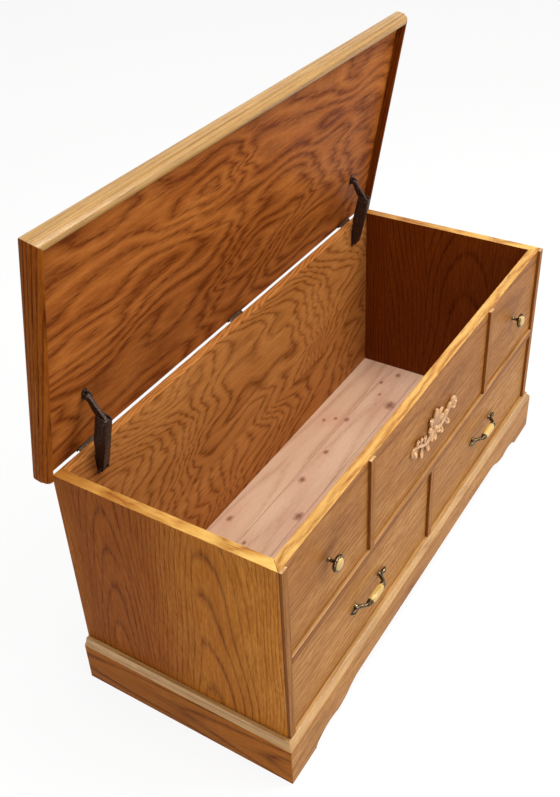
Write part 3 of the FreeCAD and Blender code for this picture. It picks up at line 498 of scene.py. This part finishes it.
def metalFinish(name, colour, rubbed, metallic, roughness, spotScale):
    # spotScale is waves per metre. Rub marks are under 1 mm wide: they are drawn 2 or 3 mm wide,
    # or they would not show.
    material, tree = newMaterial(name)
    place = addNode(tree, "ShaderNodeTexCoord")
    spots = addNode(tree, "ShaderNodeTexNoise",
                    {"Vector": place.outputs["Object"], "Scale": spotScale, "Detail": 3})
    share = addNode(tree, "ShaderNodeMapRange",
                    {0: spots, 1: metalDetail["rubbedFrom"], 2: metalDetail["rubbedTo"]})
    mixed = addNode(tree, "ShaderNodeMix", {0: share, 6: toLinear(colour), 7: toLinear(rubbed)},
                    data_type="RGBA")
    relief = addNode(tree, "ShaderNodeBump",
                     {"Strength": metalDetail["relief"], "Height": spots,
                      "Distance": metalDetail["reliefDeep"] * millimetre})
    rough = addNode(tree, "ShaderNodeMapRange",
                    {0: share, 3: roughness + metalDetail["duller"], 4: roughness})
    shader = addNode(tree, "ShaderNodeBsdfPrincipled",
                     {"Base Color": mixed.outputs[2], "Metallic": metallic,
                      "Roughness": rough, "Normal": relief})
    addNode(tree, "ShaderNodeOutputMaterial", {0: shader})
    return material


metal = {name: metalFinish(name, **look) for name, look in metals.items()}
# Turned oak under gloss lacquer: pale yellow with a sharp highlight.
turnedOak = oakFinish("turnedOak", light="#d4b468", mid="#bb9548", dark="#93702f", ringWide=3,
                      figure=0.5, pores=0.5, gloss=0.2, shine=0.5)
# Carved oak, stained and wiped: pinkish tan on what stands proud, dark stain in the hollows. The
# onlay's tones add painted shade in the hollows and painted highlights on what stands proud.
carvedOak = oakFinish("carvedOak", light="#c4935c", mid="#ab7845", dark="#7a4a22", ringWide=4,
                      figure=0.35, pores=0.4, gloss=0.3, shine=0.5)


def turned(profile, axis, at, steps=40):
    # a turning from pairs of radius and height in mm, standing on a point along an axis
    bm = bmesh.new()
    side = axis.orthogonal().normalized()
    rings = []
    for radius, height in profile:
        middle = at + axis * (height * millimetre)
        turns = steps if radius else 1
        rings.append([bm.verts.new(middle + Matrix.Rotation(math.tau * step / turns, 3, axis)
                                   @ side * (radius * millimetre)) for step in range(turns)])
    for lower, upper in zip(rings, rings[1:]):
        for step in range(steps):
            after = step + 1
            quad = (lower[step % len(lower)], lower[after % len(lower)],
                    upper[after % len(upper)], upper[step % len(upper)])
            bm.faces.new(dict.fromkeys(quad))
    bmesh.ops.recalc_face_normals(bm, faces=bm.faces)
    return bm


def bent(points, radii):
    # a round bar along a smooth line through the air, with its radius in mm at each point
    curve = bpy.data.curves.new("bar", "CURVE")
    curve.dimensions = "3D"
    curve.bevel_depth = millimetre
    curve.bevel_resolution = 4
    curve.use_fill_caps = True
    spline = curve.splines.new("NURBS")
    spline.points.add(len(points) - 1)
    for knot, place, radius in zip(spline.points, points, radii):
        knot.co = (*place, 1)
        knot.radius = radius
    spline.order_u = 3
    spline.use_endpoint_u = True
    spline.resolution_u = 6
    holder = bpy.data.objects.new("bar", curve)
    mesh = bpy.data.meshes.new_from_object(holder)
    bm = bmesh.new()
    bm.from_mesh(mesh)
    bmesh.ops.remove_doubles(bm, verts=bm.verts, dist=weldWithin / 10)
    bmesh.ops.recalc_face_normals(bm, faces=bm.faces)
    bpy.data.objects.remove(holder)
    bpy.data.curves.remove(curve)
    bpy.data.meshes.remove(mesh)
    return bm


def joined(parts):
    whole = bmesh.new()
    for part in parts:
        mesh = bpy.data.meshes.new("part")
        part.to_mesh(mesh)
        part.free()
        whole.from_mesh(mesh)
        bpy.data.meshes.remove(mesh)
    return whole


def creased(bm, angle=32):
    # edges that turn by more than this many degrees stay sharp
    for edge in bm.edges:
        edge.smooth = edge.calc_face_angle(0) < angle * degree
    return bm


knob = {   # radius and height from the front board, mm
    "brass": ((0, 0), (5.0, 0), (5.0, 0.8), (4.4, 1.6), (3.7, 3.0), (3.4, 5.0), (3.3, 8.5),
              (3.7, 11.2), (6, 13.2), (10.4, 14.6), (14, 16.0), (16, 17.8), (16.7, 19.8),
              (16.4, 21.6), (15.5, 23.0), (14.2, 23.5), (13.0, 23.2), (12.4, 22.3), (12.3, 20.9),
              (0, 20.9)),
    "insert": ((0, 20.9), (12.2, 20.9), (12.2, 22.7), (11.5, 24.3), (9.6, 25.8), (6.6, 26.9),
               (3.3, 27.4), (0, 27.5)),
}
grainHeart = 0.02   # metres that its tree's heart lies to the side of a turning's middle
for name in ("left", "right"):
    low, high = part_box("knob_" + name)
    foot = Vector(((low.x + high.x) / 2, frontY, (low.z + high.z) / 2))
    newPiece(f"knob_{name}_brass", creased(turned(knob["brass"], -y, foot)),
             metal["antiqueBrass"], "chest", replaced=(f"knob_{name}",))
    bm = creased(turned(knob["insert"], -y, foot))
    layGrain(bm, z, x, foot, shifts=((foot.x, grainHeart, 0),))
    newPiece(f"knob_{name}_oak", bm, turnedOak, "chest", replaced=(f"knob_insert_{name}",))

pull = {
    "reach": 20,               # mm from the front board to the grip's middle
    "postSpread": 48,          # mm from the middle to each post
    # turnings, as pairs of radius and height in mm: a post from the board out, and a ferrule
    # from the grip's middle along the bar
    "post": ((0, 0), (6.2, 0), (6.2, 0.8), (5.4, 1.8), (4.8, 3.2), (4.2, 5.4), (0, 6.6)),
    "bar": ((23, 20), (30, 20), (36, 17), (41, 11.5), (46, 6.6), (52, 5.4), (59, 6.0),
            (65, 5.6), (71, 3.4)),     # mm along from the middle, and out
    "barRound": (4.0, 3.7, 3.7, 4.0, 4.7, 3.4, 4.6, 4.0, 1.1),
    "ferrule": ((0, 22.4), (6.6, 22.4), (6.9, 23.4), (6.4, 24.6), (5.0, 25.6), (5.2, 26.6),
                (6.2, 27.6), (6.2, 29.0), (4.8, 30.6), (4.0, 33), (0, 33.4)),
    "postSides": 28, "ferruleSides": 32, "gripSides": 36,
    # the wooden grip: half its length, its radius and what that loses towards the ends, the power
    # with which it does, the step down at each end, how much of the barrel's line is used, and
    # points on half of it
    "gripHalf": 22.5, "gripRound": 8.2, "gripTaper": 2.2, "gripPower": 3, "gripLip": 0.8,
    "barrelShare": 0.97, "barrelPoints": 9,
}
half = pull["gripHalf"]
barrel = [(0, -half), (pull["gripRound"] - pull["gripTaper"] - pull["gripLip"], -half)]
for step in range(-pull["barrelPoints"], pull["barrelPoints"] + 1):
    share = step / pull["barrelPoints"] * pull["barrelShare"]
    barrel.append((pull["gripRound"] - pull["gripTaper"] * abs(share) ** pull["gripPower"],
                   half * share))
barrel += [(barrel[1][0], half), (0, half)]
for name in ("left", "right"):
    low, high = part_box("pull_grip_" + name)
    middle = Vector(((low.x + high.x) / 2, frontY, (low.z + high.z) / 2))
    grip = middle - y * (pull["reach"] * millimetre)
    parts = []
    for side in (-1, 1):
        way = x * side
        parts.append(turned(pull["post"], -y, middle + way * (pull["postSpread"] * millimetre),
                            pull["postSides"]))
        parts.append(turned(pull["ferrule"], way, grip, pull["ferruleSides"]))
        parts.append(bent([middle + (way * run - y * out) * millimetre
                           for run, out in pull["bar"]], pull["barRound"]))
    newPiece(f"pull_{name}_brass", creased(joined(parts)), metal["antiqueBrass"], "chest",
             replaced=("pull_" + name,))
    bm = creased(turned(barrel, x, grip, pull["gripSides"]))
    layGrain(bm, x, z, grip, shifts=((middle.x, grainHeart, 0),))
    newPiece(f"pull_{name}_oak", bm, turnedOak, "chest", replaced=("pull_grip_" + name,))
print("knobs and pulls made")

# The carved onlay is a palmette between two scrolling tendrils. Its sizes are mm on the front,
# from its middle, and its headings are degrees.
onlay = {
    "level": 0.406,        # metres from the floor to its middle
    "proud": 0.95,         # how far the carving stands out, as a share of its roundness
    # turnings, as pairs of radius and height: the middle boss and the one in each curl
    "boss": ((0, 0), (6, 0), (6.2, 4), (5, 7.2), (3, 8.8), (0, 9.4)), "bossSides": 28,
    "curlBoss": ((0, 0), (4.6, 0), (4.6, 5), (3.4, 8), (0, 9.6)), "curlSides": 20,
    # the palmette's leaves: heading, length and width
    "leaves": ((90, 45, 7.2), (54, 43, 6.8), (126, 43, 6.8), (22, 35, 6.2), (158, 35, 6.2),
               (270, 29, 6), (228, 28, 5.6), (312, 28, 5.6)),
    "tendril": ((4, -4), (20, -13), (40, -14), (58, -7), (73, 4), (88, 9)),
    "tendrilRound": (4.8, 5.0, 4.8, 4.6, 4.4, 4.0), "tendrilOut": 1.5,
    # the curl at its end: middle, radius, share of that lost by its inner end, turns and start,
    # then the points on it, the bar's radius, and what that loses from one to the next
    "curlAt": (97, 2), "curlRound": 9.5, "curlClose": 0.62, "curlTurns": 1.35, "curlFrom": 120,
    "curlPoints": 12, "curlBar": 3.8, "curlTaper": 0.08,
    "leafletWide": 6.0,
    "leaflets": ((14, -11, 64, 27), (28, -15, -70, 19), (36, -14, 58, 30), (50, -11, -50, 25),
                 (58, -6, 68, 26), (76, 5, 64, 20), (78, 6, -40, 22)),   # root, heading, length
    # along each lobe of a leaf: share of its length, share of its width aside, height out in mm,
    # and the lobe's radius as a share of the width
    "lobe": ((0, 0.1, 0, 0.35), (0.3, 0.42, 0.6, 0.52), (0.6, 0.62, 1.6, 0.6),
             (0.84, 0.5, 4.6, 0.58), (1, 0.1, 6.0, 0.42)),
    # darker low down and lighter up to this height in mm: stain left in the hollows and rubbed off
    # the tips, with painted shade in the hollows and painted highlights on the tips
    "hollow": (0.4, 0.31, 0.24), "tip": (1.45, 1.58, 1.85), "tipOut": 8,
    "crease": 50,          # degrees, the sharpest turn that is shaded smooth
    "grainFrom": (-110, -34), "sunk": 0.2,   # where its grain starts, and how deep it is let in
}


def onFront(flatX, flatZ, out=0.0):
    return Vector((flatX * millimetre, frontY - out * millimetre,
                   onlay["level"] + flatZ * millimetre))


def carvedLeaf(rootX, rootZ, heading, length, width):
    # two lobes side by side with a crease between them; the tip swells and curls out
    lobes = []
    ahead = Vector((math.cos(heading * degree), math.sin(heading * degree)))
    aside = Vector((-ahead.y, ahead.x))
    root = Vector((rootX, rootZ))
    for lean in (-1, 1):
        line = [(*(root + ahead * (length * run) + aside * (lean * width * bulge)), out)
                for run, bulge, out, share in onlay["lobe"]]
        lobes.append(bent([onFront(*spot) for spot in line],
                          [width * share for run, bulge, out, share in onlay["lobe"]]))
    return lobes


parts = [turned(onlay["boss"], -y, onFront(0, 0), onlay["bossSides"])]
for heading, length, width in onlay["leaves"]:
    parts += carvedLeaf(0, 0, heading, length, width)
for side in (-1, 1):
    line = [Vector(spot) for spot in onlay["tendril"]]
    centre = Vector(onlay["curlAt"])
    count = onlay["curlPoints"]
    for step in range(count):
        angle = onlay["curlFrom"] - 360 * onlay["curlTurns"] * step / (count - 1)
        reach = onlay["curlRound"] * (1 - onlay["curlClose"] * step / (count - 1))
        line.append(centre + reach * Vector((math.cos(angle * degree), math.sin(angle * degree))))
    radii = list(onlay["tendrilRound"])
    radii += [onlay["curlBar"] - onlay["curlTaper"] * step for step in range(count)]
    parts.append(bent([onFront(side * spot.x, spot.y, onlay["tendrilOut"]) for spot in line],
                      radii))
    parts.append(turned(onlay["curlBoss"], -y, onFront(side * centre.x, centre.y),
                        onlay["curlSides"]))
    for rootX, rootZ, heading, length in onlay["leaflets"]:
        turnedHeading = heading if side > 0 else 180 - heading
        parts += carvedLeaf(side * rootX, rootZ, turnedHeading, length, onlay["leafletWide"])
bm = joined(parts)
for vert in bm.verts:   # flatten the relief on to the board
    vert.co.y = frontY + (vert.co.y - frontY) * onlay["proud"]
bmesh.ops.bisect_plane(bm, geom=bm.verts[:] + bm.edges[:] + bm.faces[:],
                       plane_co=onFront(0, 0, -onlay["sunk"]), plane_no=y, clear_outer=True)
bmesh.ops.holes_fill(bm, edges=bm.edges, sides=0)
bmesh.ops.recalc_face_normals(bm, faces=bm.faces)
layGrain(creased(bm, onlay["crease"]), x, z, onFront(*onlay["grainFrom"]))
# tone by height out from the board: stain and wear, with painted shade low down and painted
# highlights on the tips
toneLayer = bm.loops.layers.float_vector["tone"]
for face in bm.faces:
    for loop in face.loops:
        out = (frontY - loop.vert.co.y) / millimetre
        loop[toneLayer] = Vector(onlay["hollow"]).lerp(Vector(onlay["tip"]),
                                                       min(out / onlay["tipOut"], 1))
newPiece("onlay_carving", bm, carvedOak, "chest", replaced=("carved_onlay",))
print("onlay carved")

for name in nodes:
    kind = name.split("_")[0]
    if kind in ("stay", "hinge"):
        finish = metal["bronzeLacquer" if kind == "stay" else "hingeBronze"]
        newPiece(name + "_metal", creased(softenedCopy(name, kind)), finish, bodyOf[name],
                 replaced=(name,))
print("stays and hinges dressed")

# Screws, rivet heads and bolt heads, in metres. A head is a ball of radius 1, half sunk in its
# piece, which each kind stretches and some have a cross slot in.
headShape = {
    "segments": 20, "rings": 10,
    "slotLong": 1.3, "slotWide": 0.24, "slotFrom": 0.5,   # the cross slot, in radii
}
fastener = {
    "screw": dict(radius=0.003, rise=0.0011, slot=True),
    "rivet": dict(radius=0.0036, rise=0.0014, slot=False),
    "bolt": dict(radius=0.0045, rise=0.002, slot=True),
    "seed": 3,              # turns each head's slot its own way
    "hingeScrewApart": 0.015, "hingeScrewLow": 0.0135, "hingeScrewHigh": 0.010,
    "leafThick": 0.0015, "plateThick": 0.002,
    "wallScrews": (0.022, -0.009), "footScrews": (0.0096, -0.0089),   # above and past each pin
}


def headTree():
    # a head on each point, facing the way that the point's heading gives
    tree = bpy.data.node_groups.new("fastenerHeads", "GeometryNodeTree")
    for label, kind in (("Spots", "NodeSocketGeometry"), ("Head radius", "NodeSocketFloat"),
                        ("Head rise", "NodeSocketFloat"), ("Cross slot", "NodeSocketBool"),
                        ("Seed", "NodeSocketInt"), ("Finish", "NodeSocketMaterial")):
        tree.interface.new_socket(label, in_out="INPUT", socket_type=kind)
    tree.interface.new_socket("Heads", in_out="OUTPUT", socket_type="NodeSocketGeometry")
    given = addNode(tree, "NodeGroupInput").outputs
    dome = addNode(tree, "GeometryNodeMeshUVSphere",
                   {"Segments": headShape["segments"], "Rings": headShape["rings"], "Radius": 1.0})
    slots = addNode(tree, "GeometryNodeJoinGeometry")
    slotLong, slotWide = headShape["slotLong"], headShape["slotWide"]
    for size in ((slotLong, slotWide, 1.0), (slotWide, slotLong, 1.0)):
        blade = addNode(tree, "GeometryNodeMeshCube", {"Size": size})
        raised = addNode(tree, "GeometryNodeTransform",
                         {"Geometry": blade, "Translation": (0, 0, headShape["slotFrom"] + 0.5)})
        tree.links.new(raised.outputs[0], slots.inputs[0])
    cut = addNode(tree, "GeometryNodeMeshBoolean", {"Mesh 1": dome, "Mesh 2": slots},
                  operation="DIFFERENCE")
    head = addNode(tree, "GeometryNodeSwitch",
                   {"Switch": given["Cross slot"], "False": dome.outputs["Mesh"],
                    "True": cut.outputs["Mesh"]}, input_type="GEOMETRY")
    stretch = addNode(tree, "ShaderNodeCombineXYZ",
                      {0: given["Head radius"], 1: given["Head radius"], 2: given["Head rise"]})
    head = addNode(tree, "GeometryNodeTransform", {"Geometry": head, "Scale": stretch})
    spots = addNode(tree, "GeometryNodeMeshToPoints", {"Mesh": given["Spots"]})
    heading = addNode(tree, "GeometryNodeInputNamedAttribute", {"Name": "heading"},
                      data_type="FLOAT_VECTOR")
    aligned = addNode(tree, "FunctionNodeAlignRotationToVector", {"Vector": heading}, axis="Z")
    spin = addNode(tree, "FunctionNodeRandomValue",
                   {2: 0.0, 3: math.pi, "Seed": given["Seed"]}, data_type="FLOAT")
    spin = addNode(tree, "FunctionNodeAxisAngleToRotation",
                   {"Axis": (0, 0, 1), "Angle": spin.outputs[1]})
    aligned = addNode(tree, "FunctionNodeRotateRotation",
                      {"Rotation": aligned, "Rotate By": spin}, rotation_space="LOCAL")
    heads = addNode(tree, "GeometryNodeInstanceOnPoints",
                    {"Points": spots, "Instance": head, "Rotation": aligned})
    heads = addNode(tree, "GeometryNodeRealizeInstances", {"Geometry": heads})
    heads = addNode(tree, "GeometryNodeSetMaterial",
                    {"Geometry": heads, "Material": given["Finish"]})
    addNode(tree, "NodeGroupOutput", {0: heads})
    return tree


headNodes = headTree()


def setHeads(name, body, finish, recordSlot, spots, **values):
    # spots pairs each head's place with the way that it faces
    mesh = bpy.data.meshes.new(name + "_spots")
    mesh.from_pydata([place for place, way in spots], [], [])
    heading = mesh.attributes.new("heading", "FLOAT_VECTOR", "POINT")
    for item, (place, way) in zip(heading.data, spots):
        item.vector = way
    piece = bpy.data.objects.new(name, mesh)
    bpy.context.scene.collection.objects.link(piece)
    modifier = piece.modifiers.new("heads", "NODES")
    modifier.node_group = headNodes
    values = dict(values, finish=finish, seed=fastener["seed"])
    for socket in headNodes.interface.items_tree:
        key = socket.name.split()[-1].lower()   # a value is named by its input's last word
        if socket.in_out == "INPUT" and key in values:
            modifier[socket.identifier] = values[key]
    evaluated = piece.evaluated_get(bpy.context.evaluated_depsgraph_get())
    finished = bpy.data.meshes.new_from_object(evaluated)
    piece.modifiers.remove(modifier)
    piece.data = finished
    for face in finished.polygons:
        face.use_smooth = True
    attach(piece, body)


def onLid(at, ahead, out):
    return Vector((at, hingeAt.y, hingeAt.z)) + lidWay * ahead + lidOut * out


chestScrews, lidScrews, bolts = [], [], []
rivets = {body: [] for body in ("chest", "lid", "stay_link_left", "stay_link_right")}
lidUnder = min((vert.co - hingeAt).dot(lidOut) for vert in nodes["lid_panel"].data.vertices)
lidRear = -min((vert.co - hingeAt).dot(lidWay) for vert in nodes["lid_panel"].data.vertices)
for name in ("left", "middle", "right"):
    low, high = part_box("hinge_chest_leaf_" + name)
    leafOut = backFace + fastener["leafThick"]
    for step in (-1, 0, 1):
        at = (low.x + high.x) / 2 + step * fastener["hingeScrewApart"]
        chestScrews.append((Vector((at, leafOut, rimZ - fastener["hingeScrewLow"])), y))
        lidScrews.append((onLid(at, -lidRear - fastener["leafThick"],
                                lidUnder + fastener["hingeScrewHigh"]), -lidWay))
for name in ("left", "right"):
    low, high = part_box("stay_wall_pin_" + name)
    pivot = (low + high) / 2
    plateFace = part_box("stay_wall_bracket_" + name)[1].y - fastener["plateThick"]
    for rise in fastener["wallScrews"]:
        chestScrews.append((Vector((pivot.x, plateFace, pivot.z + rise)), -y))
    for end, way in ((low.x, -x), (high.x, x)):
        rivets["chest"].append((Vector((end, pivot.y, pivot.z)), way))
    low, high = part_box("stay_rivet_" + name)
    for end, way in ((low.x, -x), (high.x, x)):
        rivets["stay_link_" + name].append((Vector((end, (low.y + high.y) / 2,
                                                    (low.z + high.z) / 2)), way))
    low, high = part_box("stay_lid_pin_" + name)
    middle = (low + high) / 2
    for end, way in ((low.x, -x), (high.x, x)):
        rivets["lid"].append((Vector((end, middle.y, middle.z)), way))
    reach = (middle - hingeAt).dot(lidWay)
    for ahead in fastener["footScrews"]:
        lidScrews.append((onLid(middle.x, reach + ahead, lidUnder - fastener["plateThick"]),
                          -lidOut))
    low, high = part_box("knob_" + name)
    innerFace = frontY + boardThick
    bolts.append((Vector(((low.x + high.x) / 2, innerFace, (low.z + high.z) / 2)), y))
    low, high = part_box("pull_grip_" + name)
    for side in (-1, 1):
        at = (low.x + high.x) / 2 + side * pull["postSpread"] * millimetre
        bolts.append((Vector((at, innerFace, (low.z + high.z) / 2)), y))
for name, body, kind, spots in (("chest_screws", "chest", "screw", chestScrews),
                                ("lid_screws", "lid", "screw", lidScrews),
                                ("handle_bolts", "chest", "bolt", bolts)):
    setHeads(name, body, metal["bronzedSteel"], "screw_steel", spots, **fastener[kind])
for body, spots in rivets.items():
    setHeads(body + "_rivets", body, metal["bronzeLacquer"], "stay_bronze", spots,
             **fastener["rivet"])
print("screws, rivets and bolts set")


def addObject(name, data):
    item = bpy.data.objects.new(name, data)
    bpy.context.scene.collection.objects.link(item)
    return item


def aim(item, place, target):
    item.location = place
    item.rotation_euler = (Vector(target) - Vector(place)).to_track_quat("-Z", "Y").to_euler()


# Metres and watts. A glow of 1 shows white, and the world lights the chest at worldLevel.
studio = {
    "floorHalf": 14.0, "floorColour": "#f2f1ef", "floorGlow": 0.88, "worldLevel": 0.42,
    "key": dict(place=(1.5, -2.4, 3.1), size=1.5, power=70),
    "fill": dict(place=(-3.2, -1.6, 2.0), size=3.0, power=26),
    "top": dict(place=(0.1, -0.6, 3.4), size=2.4, power=105),
    "aimAt": (0, 0, 0.4),
}


def seenDirectly(tree):
    # 1 for what the camera sees straight on, mirrored or through glass, and 0 for light's own way
    path = addNode(tree, "ShaderNodeLightPath")
    seen = path.outputs["Is Camera Ray"]
    for kind in ("Is Glossy Ray", "Is Transmission Ray"):
        seen = addNode(tree, "ShaderNodeMath", {0: seen, 1: path.outputs[kind]},
                       operation="MAXIMUM")
    return seen


floorMesh = bpy.data.meshes.new("floor")
half = studio["floorHalf"]
floorMesh.from_pydata([(-half, -half, 0), (half, -half, 0), (half, half, 0), (-half, half, 0)],
                      [], [(0, 1, 2, 3)])
floor = addObject("floor", floorMesh)
material, tree = newMaterial("paleFloor")
matte = addNode(tree, "ShaderNodeBsdfDiffuse", {"Color": toLinear(studio["floorColour"])})
glow = addNode(tree, "ShaderNodeEmission", {"Color": (1, 1, 1, 1), "Strength": 1.0})
share = addNode(tree, "ShaderNodeMath", {0: seenDirectly(tree), 1: studio["floorGlow"]},
                operation="MULTIPLY")
mixed = addNode(tree, "ShaderNodeMixShader", {0: share, 1: matte, 2: glow})
addNode(tree, "ShaderNodeOutputMaterial", {0: mixed})
floorMesh.materials.append(material)

world = bpy.data.worlds.new("studio")
bpy.context.scene.world = world
world.use_nodes = True
tree = world.node_tree
tree.nodes.clear()
level = addNode(tree, "ShaderNodeMapRange", {0: seenDirectly(tree), 3: studio["worldLevel"],
                                             4: 1.0})
sky = addNode(tree, "ShaderNodeBackground", {"Color": (1, 1, 1, 1), "Strength": level})
addNode(tree, "ShaderNodeOutputWorld", {0: sky})

for name in ("key", "fill", "top"):
    values = studio[name]
    lamp = bpy.data.lights.new(name, "AREA")
    lamp.shape = "DISK"
    lamp.size = values["size"]
    lamp.energy = values["power"]
    aim(addObject(name, lamp), values["place"], studio["aimAt"])

# Place in metres, angles in radians, focal length and image centre in pixels, sensor in mm.
eye = {
    "place": (-1.46147, -0.82697, 1.66055), "azimuth": 0.981, "dip": 0.6156, "roll": -0.0558,
    "focal": 991.33, "centre": (271.12, 370.05), "image": (560, 797), "sensor": 36.0,
    "nearest": 0.05,
}
camera = addObject("camera", bpy.data.cameras.new("camera"))
azimuth, dip, roll = eye["azimuth"], eye["dip"], eye["roll"]
look = Vector((math.sin(azimuth) * math.cos(dip), math.cos(azimuth) * math.cos(dip),
               -math.sin(dip)))
right = look.cross(z).normalized()
up = right.cross(look)
ways = (math.cos(roll) * right + math.sin(roll) * up,
        -math.sin(roll) * right + math.cos(roll) * up, -look)
camera.matrix_world = Matrix.Translation(eye["place"]) @ Matrix(ways).transposed().to_4x4()
tall = eye["image"][1]
camera.data.sensor_width = eye["sensor"]
camera.data.lens = eye["focal"] * eye["sensor"] / tall
camera.data.shift_x = (eye["image"][0] / 2 - eye["centre"][0]) / tall
camera.data.shift_y = (eye["centre"][1] - eye["image"][1] / 2) / tall
camera.data.clip_start = eye["nearest"]
bpy.context.scene.camera = camera
bpy.context.scene.view_settings.view_transform = "Standard"
print("studio set")
